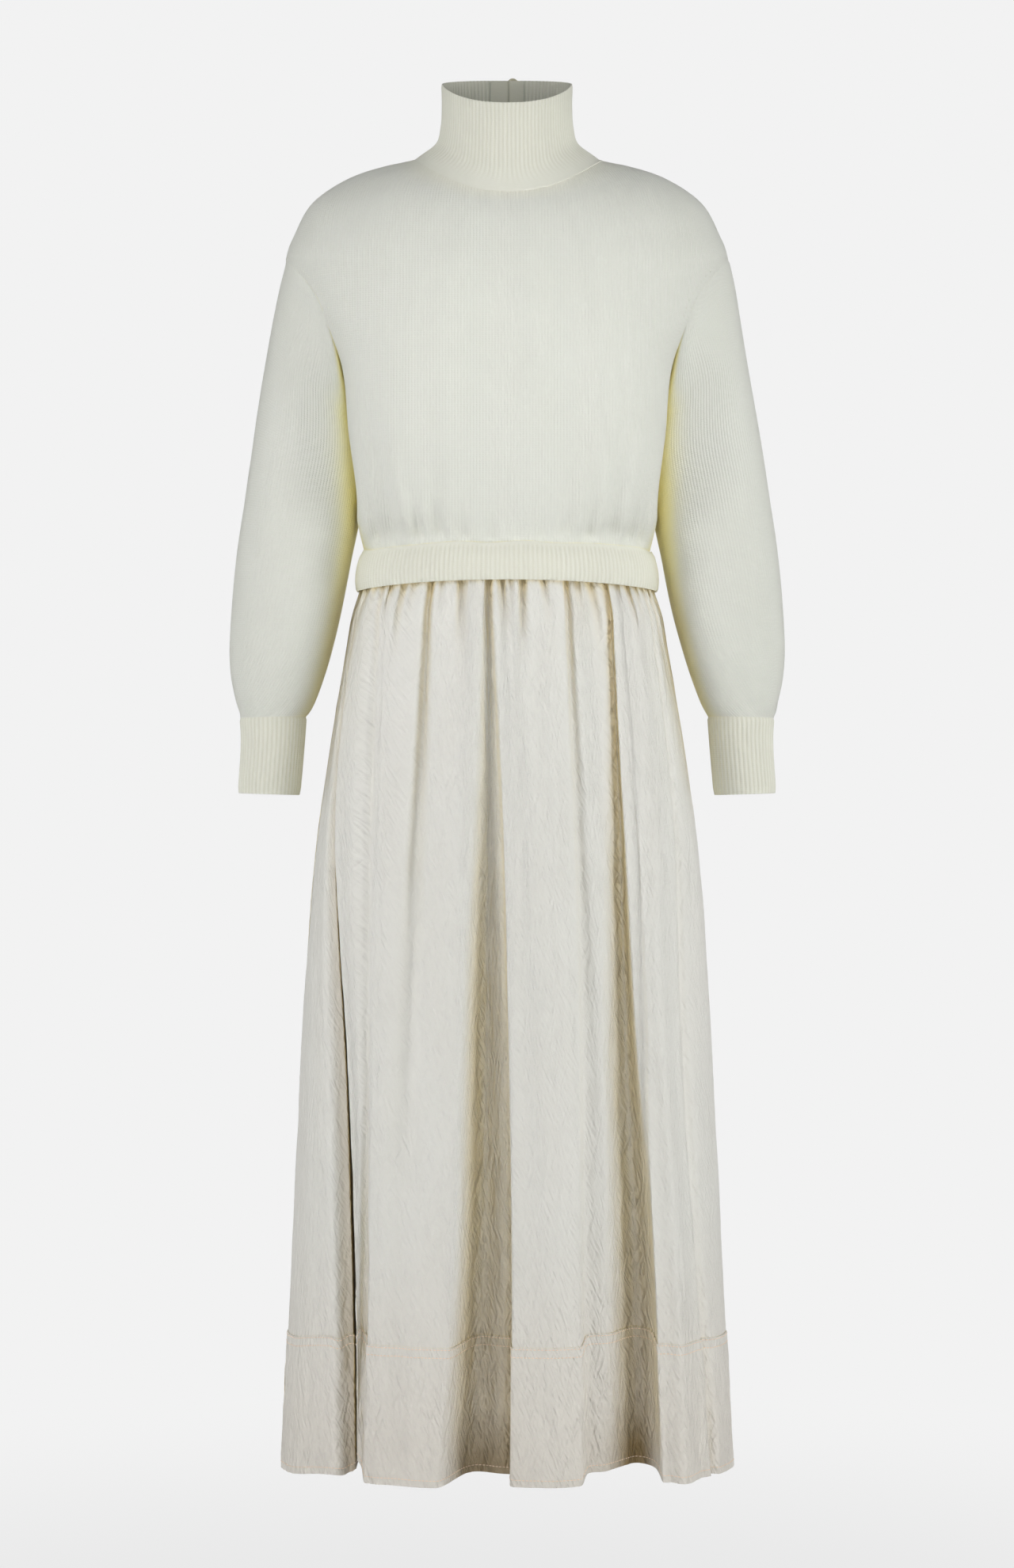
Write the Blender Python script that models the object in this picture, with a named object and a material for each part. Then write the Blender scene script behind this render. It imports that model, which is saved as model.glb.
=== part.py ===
"""Turtleneck dress, filled out as if worn: a fine knit top with a standing ribbed collar,
drop shoulders, long sleeves and ribbed cuffs, joined by a ribbed waistband to a long
gathered woven skirt with a deep hem band.

Metres, +Z up, the front faces -Y.  The origin lies between the two points where the
shoulder seams meet the neck seam, which is the level where the shoulders carry the dress.
Every cloth piece is one closed wall, and neighbouring pieces stand SEAM_GAP apart.
"""

import math

import bmesh
import bpy
import numpy as np

# ---- cloth -------------------------------------------------------------------------
KNIT_WALL = 0.0020          # jersey of the body and sleeves
RIB_WALL = 0.0026           # ribbed collar, cuffs and waistband
WOVEN_WALL = 0.0015         # skirt and hem band
PLACKET_WALL = 0.0010       # facing beside the slit in the collar
SEAM_GAP = 0.0003           # between two pieces that are sewn together
REST_GAP = 0.0006           # between two pieces that only lie on each other

# ---- knit body: one row for each ring of the body, from the waist seam to the neck seam
# half_width, side_z: where the ring crosses the side seam, armhole or shoulder seam
# front_y, front_z, back_y, back_z: where it crosses the middle of the front and back
BODY_RINGS = (
    # half_width  side_z  front_y  front_z   back_y   back_z
    (0.1365, -0.3785, -0.0990, -0.3735, 0.0860, -0.3740),   # waist seam
    (0.1440, -0.3440, -0.1080, -0.3400, 0.0930, -0.3400),   # fullness over the waist
    (0.1540, -0.2740, -0.1160, -0.2700, 0.0990, -0.2720),   # ribs
    (0.1630, -0.2010, -0.1200, -0.2030, 0.1050, -0.2010),   # underarm
    (0.1930, -0.1500, -0.1175, -0.1560, 0.1060, -0.1500),   # middle of the armhole
    (0.2120, -0.0970, -0.1120, -0.1180, 0.1030, -0.1000),   # top of the armhole
    (0.2045, -0.0690, -0.1070, -0.0980, 0.0985, -0.0730),   # round of the shoulder
    (0.1868, -0.0395, -0.1010, -0.0790, 0.0915, -0.0450),   # outer shoulder seam
    (0.1530, -0.0170, -0.0945, -0.0620, 0.0810, -0.0190),   # middle shoulder seam
    (0.1160, -0.0045, -0.0885, -0.0510, 0.0720, -0.0020),   # inner shoulder seam
    (0.0880, 0.0000, -0.0830, -0.0410, 0.0640, 0.0120),     # neck seam
)
UNDERARM_RING = 3
SHOULDER_RING = 5
NECK_RING = len(BODY_RINGS) - 1
BODY_SQUARENESS = 2.2       # 2 is an ellipse, more is boxier
ARMHOLE_INSET = math.radians(28)    # how far the armhole cuts in from the side
BUST_REACH = 0.006          # soft fullness of the cut at the bust
BUST_CENTRE = (0.070, -0.150)       # x and z of its middle
BUST_SPREAD = (0.045, 0.055)

# ---- collar: rings from the neck seam to the rim, same columns as the body
COLLAR_RINGS = (
    (0.0880, 0.0000, -0.0830, -0.0410, 0.0640, 0.0120),     # neck seam
    (0.0740, 0.0120, -0.0765, -0.0270, 0.0590, 0.0240),     # flare into the stand
    (0.0640, 0.0300, -0.0705, -0.0060, 0.0550, 0.0400),     # foot of the stand
    (0.0623, 0.0500, -0.0675, 0.0200, 0.0530, 0.0620),      # stand
    (0.0628, 0.0700, -0.0660, 0.0436, 0.0520, 0.0838),      # rim
)
SLIT_GAP = 0.0010           # open slit at the centre back
PLACKET_BELOW_RIM = 0.10    # where the facing stops, in rings below the rim
BUTTON_RADIUS = 0.0050
BUTTON_THICKNESS = 0.0026
SHANK_RADIUS = 0.0011
BUTTON_X = 0.0056           # beside the slit
BUTTON_BELOW_RIM = 0.0030   # centre of the button below the back rim
LOOP_THREAD = 0.0009        # radius of the button loop

# ---- sleeve: rings from the armhole to the cuff, on the +X side
SLEEVE_RINGS = (
    # inner_x  inner_z  outer_x  outer_z   mid_y   half_depth
    (0.1630, -0.2010, 0.2120, -0.0970, 0.0000, 0.0540),     # armhole
    (0.1602, -0.2320, 0.2200, -0.1290, 0.0100, 0.0600),
    (0.1556, -0.2620, 0.2310, -0.1880, 0.0200, 0.0630),
    (0.1484, -0.3000, 0.2430, -0.2560, 0.0280, 0.0640),     # upper arm
    (0.1452, -0.3450, 0.2525, -0.3200, 0.0300, 0.0630),
    (0.1510, -0.3880, 0.2600, -0.3740, 0.0270, 0.0620),     # elbow
    (0.1590, -0.4310, 0.2650, -0.4290, 0.0220, 0.0600),
    (0.1680, -0.4680, 0.2668, -0.4690, 0.0160, 0.0570),     # fullest forearm
    (0.1765, -0.4970, 0.2645, -0.4990, 0.0110, 0.0490),
    (0.1850, -0.5200, 0.2602, -0.5220, 0.0060, 0.0400),
    (0.1930, -0.5350, 0.2560, -0.5362, 0.0030, 0.0325),     # cuff seam
)
CUFF_RINGS = (
    (0.1930, -0.5350, 0.2560, -0.5362, 0.0030, 0.0325),     # cuff seam
    (0.1948, -0.5600, 0.2548, -0.5615, 0.0020, 0.0312),
    (0.1990, -0.6100, 0.2576, -0.6080, 0.0010, 0.0305),     # wrist edge
)

# ---- waistband: half_width, side_z, front_y, front_z, back_y, back_z
# It lies outside the gathered edge of the skirt, so it stands its own wall proud of the knit.
WAISTBAND_RINGS = (
    (0.1389, -0.3776, -0.1014, -0.3727, 0.0884, -0.3732),   # waist seam
    (0.1417, -0.3853, -0.1045, -0.3803, 0.0920, -0.3808),
    (0.1441, -0.3956, -0.1071, -0.3906, 0.0946, -0.3916),   # fullest
    (0.1448, -0.4060, -0.1071, -0.4010, 0.0951, -0.4020),
    (0.1438, -0.4153, -0.1055, -0.4085, 0.0941, -0.4103),   # lower edge
)

# ---- skirt: half_width, front_y, back_y and height of each ring
SKIRT_RINGS = (
    # half_width front_y  back_y   z
    (0.1367, -0.0995, 0.0863, -0.3780),      # gathered edge, against the waistband
    (0.1376, -0.0986, 0.0870, -0.4100),      # lower edge of the waistband
    (0.1480, -0.1020, 0.0960, -0.4450),
    (0.1590, -0.1070, 0.1080, -0.4980),
    (0.1715, -0.1130, 0.1200, -0.5750),      # hip
    (0.1835, -0.1200, 0.1300, -0.6650),
    (0.1935, -0.1290, 0.1400, -0.7950),
    (0.2005, -0.1370, 0.1490, -0.9400),
    (0.2080, -0.1450, 0.1570, -1.0950),
    (0.2150, -0.1500, 0.1620, -1.2510),      # hem
)
SKIRT_SQUARENESS = 2.1
SIDE_DROOP = 0.0040         # how much lower the side seams hang than the middle
HEM_BAND_HEIGHT = 0.1250
HEM_LIFT = 0.09             # rise of the hem where a fold turns in, per metre turned in
FOLD_TOP_WIDTH = 0.35       # a fold's width at the waist, as a share of its hem width
LAP_SPREAD = 0.5            # how far a lapped fold edge is drawn over its groove

# Grooves between the big folds, and one ridge that stands proud, with a depth below 0.
# Angles are in degrees from the middle of the panel, positive towards +X on the front
# and towards -X on the back: where a groove runs at the waist, half way and at the hem.
# left and right are its half widths at the hem, lap_left and lap_right how far the fold
# beside it is drawn over it, broad how flat its bottom is, end where it fades out.
FOLD_COLUMNS = ("top", "mid", "hem", "depth_top", "depth_hem", "left", "right",
                "lap_left", "lap_right", "broad", "end")
FRONT_FOLDS = (
    (-66.0, -53.0, -44.0, 0.004, 0.020, 9.0, 3.0, 0.001, 0.000, 1.0, 1.0),
    (-57.0, -45.0, -39.5, 0.005, 0.042, 6.0, 5.5, 0.000, 0.004, 1.0, 1.0),
    (-29.0, -27.0, -27.5, 0.006, 0.003, 4.5, 4.5, 0.000, 0.000, 1.0, 0.7),
    (-7.5, -3.4, -1.7, 0.006, 0.060, 17.0, 5.5, 0.000, 0.007, 1.1, 1.0),
    (21.4, 19.8, 17.0, 0.005, 0.006, 4.0, 4.0, 0.000, 0.000, 1.0, 0.8),
    (45.0, 36.6, 39.2, 0.006, 0.060, 20.5, 5.5, 0.001, 0.006, 2.0, 1.0),
    (54.0, 49.0, 51.5, 0.000, -0.018, 6.0, 7.0, 0.000, 0.000, 1.0, 1.0),
    (60.0, 59.2, 65.5, 0.004, 0.022, 6.0, 10.0, 0.002, 0.000, 1.0, 1.0),
)
BACK_FOLDS = (
    (-60.0, -57.0, -53.0, 0.005, 0.030, 10.0, 7.0, 0.000, 0.002, 1.0, 1.0),
    (-36.0, -31.0, -29.0, 0.006, 0.052, 6.0, 15.0, 0.006, 0.000, 1.2, 1.0),
    (-9.0, -7.0, -2.0, 0.006, 0.012, 7.0, 7.0, 0.000, 0.000, 1.0, 1.0),
    (17.0, 20.0, 23.0, 0.006, 0.058, 16.0, 5.5, 0.000, 0.006, 1.4, 1.0),
    (41.0, 42.0, 42.0, 0.005, 0.008, 5.0, 6.0, 0.000, 0.000, 1.0, 0.8),
    (57.0, 59.0, 62.0, 0.005, 0.036, 7.0, 9.0, 0.003, 0.000, 1.0, 1.0),
)

# ---- length of cloth between the first two rings of a table, which places its seam gap
FIRST_COLLAR_RUN = 0.018
FIRST_SLEEVE_RUN = 0.030
FIRST_CUFF_RUN = 0.025
FIRST_BAND_RUN = 0.008

# ---- facets ------------------------------------------------------------------------
PANEL_COLUMNS = 14          # across the front or back of the knit body
SHOULDER_ROWS = 5           # from the top of the armhole to the neck
SLEEVE_COLUMNS = 16         # round a sleeve; half of it follows each side of the armhole
SLEEVE_ROWS = 12
CUFF_ROWS = 3
COLLAR_COLUMNS = 24         # one of them is as wide as the facing beside the slit
COLLAR_ROWS = 5
WAISTBAND_COLUMNS = 32
SKIRT_ROWS = 9
WIDEST_COLUMN = 9.0         # degrees, across the skirt at the hem
NARROWEST_COLUMN = 1.8
SHARPEST_CORNER = 0.5       # limits how far a wall's inner corner moves at a sharp fold
BUTTON_COLUMNS = 16
LOOP_STEPS = 8
LOOP_SIDES = 6

# ---- colours -----------------------------------------------------------------------
IVORY_KNIT = (0.70, 0.70, 0.62)
IVORY_RIB = (0.70, 0.70, 0.60)
IVORY_WOVEN = (0.66, 0.63, 0.57)
BUTTON_IVORY = (0.74, 0.71, 0.62)


# ---- reading the tables ----------------------------------------------------------

def along(rows, place):
    """The row at a place between the rows of a table, on a smooth curve through them."""
    rows = np.asarray(rows, dtype=float)
    last = len(rows) - 1
    place = min(max(place, 0.0), float(last))
    first = min(int(place), last - 1)
    part = place - first
    here, after = rows[first], rows[first + 1]
    before = rows[first - 1] if first > 0 else 2 * here - after
    beyond = rows[first + 2] if first + 2 <= last else 2 * after - here
    slope_in = (after - before) / 2
    slope_out = (beyond - here) / 2
    turn = 3 * (after - here) - 2 * slope_in - slope_out
    settle = 2 * (here - after) + slope_in + slope_out
    return here + part * (slope_in + part * (turn + part * settle))


def ring_point(row, angle, squareness):
    """A point of a body ring; angle 0 is the middle front and 90 degrees the +X side."""
    half_width, side_z, front_y, front_z, back_y, back_z = row
    across, forward = math.sin(angle), math.cos(angle)
    power = 2 / squareness
    middle_y, middle_z = (front_y, front_z) if forward >= 0 else (back_y, back_z)
    x = half_width * math.copysign(abs(across) ** power, across)
    y = middle_y * abs(forward) ** power
    z = middle_z + (side_z - middle_z) * across ** 2
    return np.array((x, y, z))


# ---- knit body ----------------------------------------------------------------------

def body_point(angle, ring):
    """The outer face of the knit body, with the soft fullness of the bust."""
    point = ring_point(along(BODY_RINGS, ring), angle, BODY_SQUARENESS)
    if math.cos(angle) > 0:
        off_x = (abs(point[0]) - BUST_CENTRE[0]) / BUST_SPREAD[0]
        off_z = (point[2] - BUST_CENTRE[1]) / BUST_SPREAD[1]
        point[1] -= BUST_REACH * math.cos(angle) * math.exp(-off_x ** 2 - off_z ** 2)
    return point


def armhole_angle(ring):
    """The angle at which a body panel ends: the side seam, armhole or shoulder seam."""
    height = (ring - UNDERARM_RING) / (SHOULDER_RING - UNDERARM_RING)
    if not 0 < height < 1:
        return math.pi / 2
    return math.pi / 2 - ARMHOLE_INSET * math.sqrt(math.sin(math.pi * height))


def armhole_rings():
    """Ring places down the armhole, close together where the curve turns."""
    steps = SLEEVE_COLUMNS // 2
    span = SHOULDER_RING - UNDERARM_RING
    return [UNDERARM_RING + span * (1 - math.cos(math.pi * step / steps)) / 2
            for step in range(steps + 1)]


def body_rows():
    """Ring places of the rows of a body panel."""
    shoulder = np.linspace(SHOULDER_RING, NECK_RING, SHOULDER_ROWS + 1)
    return list(range(UNDERARM_RING)) + armhole_rings() + list(shoulder[1:])


def trimmed(edge_angle, ring):
    """An edge angle drawn back by half a seam gap."""
    step = 0.001
    reach = np.linalg.norm(body_point(edge_angle - step, ring) - body_point(edge_angle, ring))
    return edge_angle - SEAM_GAP / 2 * step / reach


def body_panel(name, centre_angle):
    """The front or back of the knit body, from waist seam to neck seam."""
    def point(column, ring):
        edge = trimmed(armhole_angle(ring), ring)
        return body_point(centre_angle + column * edge, ring)
    columns = np.linspace(-1, 1, PANEL_COLUMNS + 1)
    return wall(name, point, columns, body_rows(), KNIT_WALL, False)


# ---- sleeves and cuffs --------------------------------------------------------------

def armhole_point(turn):
    """The armhole seam on the +X side; turn 0 is its top, a quarter its front edge."""
    height = (1 + math.cos(2 * math.pi * turn)) / 2
    ring = UNDERARM_RING + (SHOULDER_RING - UNDERARM_RING) * height
    angle = armhole_angle(ring)
    if turn % 1.0 > 0.5:
        angle = math.pi - angle
    return body_point(angle, ring)


def tube_point(rows, turn, place):
    """A point of a sleeve or cuff ring; turn 0 is its outer side, a quarter its front."""
    inner_x, inner_z, outer_x, outer_z, mid_y, half_depth = along(rows, place)
    outward = math.cos(2 * math.pi * turn)
    x = (inner_x + outer_x) / 2 + outward * (outer_x - inner_x) / 2
    z = (inner_z + outer_z) / 2 + outward * (outer_z - inner_z) / 2
    y = mid_y - half_depth * math.sin(2 * math.pi * turn)
    return np.array((x, y, z))


def sleeve_point(turn, place):
    """The outer face of the sleeve: the armhole seam running into the sleeve's rings."""
    join = min(place / 2.0, 1.0)
    join = join * join * (3 - 2 * join)
    drop = tube_point(SLEEVE_RINGS, turn, place) - tube_point(SLEEVE_RINGS, turn, 0.0)
    from_seam = armhole_point(turn) + drop
    return from_seam * (1 - join) + tube_point(SLEEVE_RINGS, turn, place) * join


def sleeve(name, side):
    """One sleeve, from the armhole seam to the cuff seam."""
    rows = np.linspace(0, len(SLEEVE_RINGS) - 1, SLEEVE_ROWS + 1)
    rows[0] = SEAM_GAP / FIRST_SLEEVE_RUN

    def point(column, row):
        return mirrored(sleeve_point(column, row), side)
    turns = np.linspace(0, 1, SLEEVE_COLUMNS + 1)
    return wall(name, point, turns, rows, KNIT_WALL, True, side < 0)


def cuff(name, side):
    """One ribbed cuff below the sleeve."""
    rows = np.linspace(0, len(CUFF_RINGS) - 1, CUFF_ROWS + 1)
    rows[0] = SEAM_GAP / FIRST_CUFF_RUN

    def point(column, row):
        return mirrored(tube_point(CUFF_RINGS, column, row), side)
    turns = np.linspace(0, 1, SLEEVE_COLUMNS + 1)
    return wall(name, point, turns, rows, RIB_WALL, True, side < 0)


def mirrored(point, side):
    """The point on the +X side for side 1, on the -X side for side -1."""
    return np.array((point[0] * side, point[1], point[2]))


# ---- collar, facing, button and loop ------------------------------------------------

def collar_point(angle, ring):
    """The outer face of the collar."""
    return ring_point(along(COLLAR_RINGS, ring), angle, 2.0)


def collar_columns():
    """Column angles of the collar, from one edge of the slit round to the other."""
    slit_angle = SLIT_GAP / 2 / COLLAR_RINGS[-1][0]
    return np.linspace(-1, 1, COLLAR_COLUMNS + 1) * (math.pi - slit_angle)


def collar_rows():
    """Ring places of the collar's rows, from the neck seam to the rim."""
    rows = np.linspace(0, len(COLLAR_RINGS) - 1, COLLAR_ROWS + 1)
    rows[0] = SEAM_GAP / FIRST_COLLAR_RUN
    return rows


def collar(name):
    """The ribbed collar: one band round the neck, open at the centre back."""
    return wall(name, collar_point, collar_columns(), collar_rows(), RIB_WALL, False)


def placket(name, side):
    """A facing strip inside the collar, as wide as the column of the collar by the slit."""
    columns = collar_columns()[-2:] if side > 0 else collar_columns()[:2]
    rows = list(collar_rows()[1:])
    rows[-1] -= PLACKET_BELOW_RIM

    def point(angle, row):
        inset = RIB_WALL + REST_GAP
        return collar_point(angle, row) - face_normal(collar_point, angle, row) * inset
    return wall(name, point, columns, rows, PLACKET_WALL, False)


def collar_back(x, drop):
    """The y of the collar's flat column beside the slit, at this x and depth below the rim."""
    angles = collar_columns()[-2:]
    rim = len(COLLAR_RINGS) - 1
    rise = COLLAR_RINGS[-1][5] - COLLAR_RINGS[-2][5]
    far, near = (collar_point(angle, rim - drop / rise) for angle in angles)
    return far[1] + (near[1] - far[1]) * (far[0] - x) / (far[0] - near[0])


def button_centre():
    """The middle of the button's back face: the loop's thread fits between it and the collar."""
    rim_z = COLLAR_RINGS[-1][5]
    seat_y = collar_back(SLIT_GAP / 2, 2 * BUTTON_BELOW_RIM)
    y = seat_y + 2 * SEAM_GAP + 2 * LOOP_THREAD
    return np.array((BUTTON_X, y, rim_z - BUTTON_BELOW_RIM))


def ringed(name, rings):
    """A closed body from rings of points, joined in order and capped at both ends."""
    mesh = bmesh.new()
    skins = [[mesh.verts.new(spot) for spot in ring] for ring in rings]
    for lower, upper in zip(skins, skins[1:]):
        for step, corner in enumerate(lower):
            after = (step + 1) % len(lower)
            mesh.faces.new((corner, lower[after], upper[after], upper[step]))
    mesh.faces.new(skins[0])
    mesh.faces.new(skins[-1])
    return finished(name, mesh)


def button(name):
    """A low domed button with its shank against the collar."""
    centre = button_centre()
    shank = centre[1] - collar_back(BUTTON_X - SHANK_RADIUS, BUTTON_BELOW_RIM) - SEAM_GAP
    profile = (
        # radius, distance from the button's back face
        (SHANK_RADIUS, -shank),
        (SHANK_RADIUS, 0.0),
        (BUTTON_RADIUS, 0.0),
        (BUTTON_RADIUS, 0.55 * BUTTON_THICKNESS),
        (0.72 * BUTTON_RADIUS, BUTTON_THICKNESS),
    )
    turns = [2 * math.pi * step / BUTTON_COLUMNS for step in range(BUTTON_COLUMNS)]
    rings = [[centre + (radius * math.cos(turn), reach, radius * math.sin(turn))
              for turn in turns] for radius, reach in profile]
    return ringed(name, rings)


def button_loop(name):
    """A thread loop sewn at the slit's other edge, round the button's shank."""
    centre = button_centre()
    middle = centre - (0, LOOP_THREAD + SEAM_GAP, 0)
    radius = SHANK_RADIUS + LOOP_THREAD + REST_GAP
    foot_x = -SLIT_GAP / 2 - 2 * LOOP_THREAD
    turns = [math.radians(-90 + 180 * step / LOOP_STEPS) for step in range(LOOP_STEPS + 1)]
    path = [middle + (radius * math.cos(turn), 0, radius * math.sin(turn)) for turn in turns]
    path.insert(0, np.array((foot_x, middle[1], path[0][2])))
    path.append(np.array((foot_x, middle[1], path[-1][2])))
    rings = []
    for place, spot in enumerate(path):
        ahead = path[min(place + 1, len(path) - 1)] - path[max(place - 1, 0)]
        aside = np.cross(ahead / np.linalg.norm(ahead), (0, 1, 0))
        ring = []
        for step in range(LOOP_SIDES):
            turn = 2 * math.pi * step / LOOP_SIDES
            reach = aside * math.cos(turn) + np.array((0, math.sin(turn), 0))
            ring.append(spot + reach * LOOP_THREAD)
        rings.append(ring)
    return ringed(name, rings)


# ---- waistband ----------------------------------------------------------------------

def waistband(name):
    """The ribbed band that covers the gathered edge of the skirt."""
    rows = np.arange(len(WAISTBAND_RINGS), dtype=float)
    rows[0] = SEAM_GAP / FIRST_BAND_RUN

    def point(column, row):
        return ring_point(along(WAISTBAND_RINGS, row), column, BODY_SQUARENESS)
    columns = np.linspace(2 * math.pi, 0, WAISTBAND_COLUMNS + 1)
    return wall(name, point, columns, rows, RIB_WALL, True)


# ---- skirt and hem band -------------------------------------------------------------

def skirt_base(angle, fall):
    """The skirt before it is folded; fall is 0 at the gathered edge and 1 at the hem."""
    half_width, front_y, back_y, z = skirt_row(fall)
    droop = SIDE_DROOP * math.sin(angle) ** 2
    row = (half_width, z - droop, front_y, z, back_y, z)
    return ring_point(row, angle, SKIRT_SQUARENESS)


def skirt_row(fall):
    """The skirt's ring at a share of the way down."""
    top, hem = SKIRT_RINGS[0][3], SKIRT_RINGS[-1][3]
    heights = [(row[3] - top) / (hem - top) for row in SKIRT_RINGS]
    place = float(np.interp(fall, heights, range(len(heights))))
    return along(SKIRT_RINGS, place)


def fold_centre(fold, fall):
    """Where a groove runs at this height, as an angle in degrees."""
    bend = 2 * fold["top"] + 2 * fold["hem"] - 4 * fold["mid"]
    return fold["top"] + (fold["hem"] - fold["top"] - bend) * fall + bend * fall ** 2


def fold_table(rows):
    """The rows of a fold table with their columns' names."""
    return [dict(zip(FOLD_COLUMNS, row)) for row in rows]


def fold_width(fall):
    """A fold's width at this height as a share of its width at the hem."""
    return FOLD_TOP_WIDTH + (1 - FOLD_TOP_WIDTH) * fall


def fold_depth(fold, fall):
    """How deep a groove is at this height; one that ends early fades out."""
    depth = fold["depth_top"] + (fold["depth_hem"] - fold["depth_top"]) * fall
    if fold["end"] < 1:
        depth *= max(0.0, 1 - (fall / fold["end"]) ** 2)
    return depth


def fold_offsets(folds, degrees, fall):
    """How far the folds push the cloth in, and along towards +angle, at this place."""
    inward, along_ring = 0.0, 0.0
    for fold in folds:
        off = degrees - fold_centre(fold, fall)
        reach = fold_width(fall) * (fold["left"] if off < 0 else fold["right"])
        share = off / reach
        if abs(share) < 1:
            share_in = abs(share) ** fold["broad"]
            inward += fold_depth(fold, fall) * (1 + math.cos(math.pi * share_in)) / 2
        lap = fall ** 2 * math.exp(-((abs(share) - 1) / LAP_SPREAD) ** 2)
        along_ring += lap * (fold["lap_left"] if off < 0 else -fold["lap_right"])
    return inward, along_ring


def skirt_point(folds, middle_angle, degrees, fall):
    """The outer face of the folded skirt."""
    angle = middle_angle + math.radians(degrees)
    step = 0.001
    before = skirt_base(angle - step, fall)
    after = skirt_base(angle + step, fall)
    tangent = (after - before) / np.linalg.norm(after - before)
    outward = np.array((tangent[1], -tangent[0], 0.0))
    outward /= np.linalg.norm(outward)
    inward, along_ring = fold_offsets(folds, degrees, fall)
    point = skirt_base(angle, fall) - outward * inward + tangent * along_ring
    point[2] += HEM_LIFT * inward * fall
    return point


def hem_columns(folds):
    """Column angles at the hem: close together at the grooves, side seam to side seam."""
    marks = []
    for fold in folds:
        for share in (-1.0, -0.5):
            marks.append(fold["hem"] + share * fold["left"])
        for share in (0.0, 0.5, 1.0):
            marks.append(fold["hem"] + share * fold["right"])
    columns = [-90.0]
    for mark in sorted(marks) + [90.0]:
        gap = mark - columns[-1]
        if gap > WIDEST_COLUMN:
            steps = math.ceil(gap / WIDEST_COLUMN)
            columns += [mark - gap * step / steps for step in range(steps - 1, 0, -1)]
        if gap > NARROWEST_COLUMN:
            columns.append(mark)
    columns[-1] = 90.0
    return columns


def fold_columns(folds, fall):
    """The hem's column angles carried up the skirt along its grooves."""
    hem = [-90.0] + [fold["hem"] for fold in folds] + [90.0]
    here = [-90.0] + [fold_centre(fold, fall) for fold in folds] + [90.0]
    return np.interp(hem_columns(folds), hem, here)


def skirt_panel(name, rows, middle_angle, falls):
    """A front or back piece of the skirt between two heights."""
    folds = fold_table(rows)
    width = skirt_row(falls[-1])[0]
    drawn_back = 1 - math.degrees(SEAM_GAP / 2 / width) / 90

    def point(column, row):
        marks = fold_columns(folds, row)
        marks[[0, -1]] *= drawn_back
        last = len(marks) - 1
        beyond = column - min(max(column, 0), last)
        degrees = np.interp(column, range(len(marks)), marks) + beyond
        return skirt_point(folds, middle_angle, degrees, row)
    columns = range(len(fold_columns(folds, 0.0)))
    return wall(name, point, columns, falls, WOVEN_WALL, False, True)


def band_fall():
    """Where the hem band starts, as a share of the skirt's fall."""
    length = SKIRT_RINGS[0][3] - SKIRT_RINGS[-1][3]
    return 1 - HEM_BAND_HEIGHT / length, SEAM_GAP / 2 / length


# ---- walls ----------------------------------------------------------------------------

def face_normal(point, column, row, flipped=False):
    """The outward normal of a surface whose columns run to the right seen from outside."""
    step = 1e-4
    across = point(column + step, row) - point(column - step, row)
    up = point(column, row + step) - point(column, row - step)
    normal = np.cross(across, up)
    return normal / np.linalg.norm(normal) * (-1 if flipped else 1)


def corner_offsets(grid, tube):
    """At each point of a grid, the offset that moves both facets beside it by one unit."""
    if tube:
        grid = np.concatenate((grid[:, -1:], grid, grid[:, :1]), axis=1)
    up = np.gradient(grid, axis=0)
    facets = np.cross(np.diff(grid, axis=1), (up[:, 1:] + up[:, :-1]) / 2)
    facets /= np.linalg.norm(facets, axis=2, keepdims=True)
    if not tube:
        facets = np.concatenate((facets[:, :1], facets, facets[:, -1:]), axis=1)
    middle = (facets[:, 1:] + facets[:, :-1]) / 2
    spread = np.maximum(np.sum(middle ** 2, axis=2, keepdims=True), SHARPEST_CORNER)
    return middle / spread


def wall(name, point, columns, rows, thickness, tube, flipped=False):
    """A closed wall whose outer face is the surface point(column, row).

    A tube's last column is its first.  The columns run to the right seen from outside and
    the rows run up, or both run the other way; flipped says that only one of them does.
    An open wall's side edges are square to the surface, so that its neighbour fits them.
    """
    column_count = len(columns) - 1 if tube else len(columns)
    row_count = len(rows)
    outside = np.array([[point(column, row) for column in columns[:column_count]]
                        for row in rows])
    offsets = corner_offsets(outside, tube) * (-1 if flipped else 1)
    for edge in () if tube else (0, -1):
        offsets[:, edge] = [face_normal(point, columns[edge], row, flipped) for row in rows]
    mesh = bmesh.new()
    outer, inner = [[[mesh.verts.new(spot) for spot in line] for line in skin]
                    for skin in (outside, outside - offsets * thickness)]
    spans = column_count if tube else column_count - 1
    for row in range(row_count - 1):
        for column in range(spans):
            after = (column + 1) % column_count
            for skin in (outer, inner):
                mesh.faces.new((skin[row][column], skin[row][after],
                                skin[row + 1][after], skin[row + 1][column]))
    for row in (0, row_count - 1):
        for column in range(spans):
            after = (column + 1) % column_count
            mesh.faces.new((outer[row][column], outer[row][after],
                            inner[row][after], inner[row][column]))
    for column in () if tube else (0, column_count - 1):
        for row in range(row_count - 1):
            mesh.faces.new((outer[row][column], outer[row + 1][column],
                            inner[row + 1][column], inner[row][column]))
    return finished(name, mesh)


def finished(name, mesh):
    """The object of a mesh, with its faces turned outward and split into triangles."""
    bmesh.ops.triangulate(mesh, faces=mesh.faces[:])
    bmesh.ops.recalc_face_normals(mesh, faces=mesh.faces[:])
    data = bpy.data.meshes.new(name)
    mesh.to_mesh(data)
    mesh.free()
    data.shade_smooth()
    data.set_sharp_from_angle(angle=math.radians(50))
    thing = bpy.data.objects.new(name, data)
    bpy.context.scene.collection.objects.link(thing)
    return thing


# ---- finish ---------------------------------------------------------------------------

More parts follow.
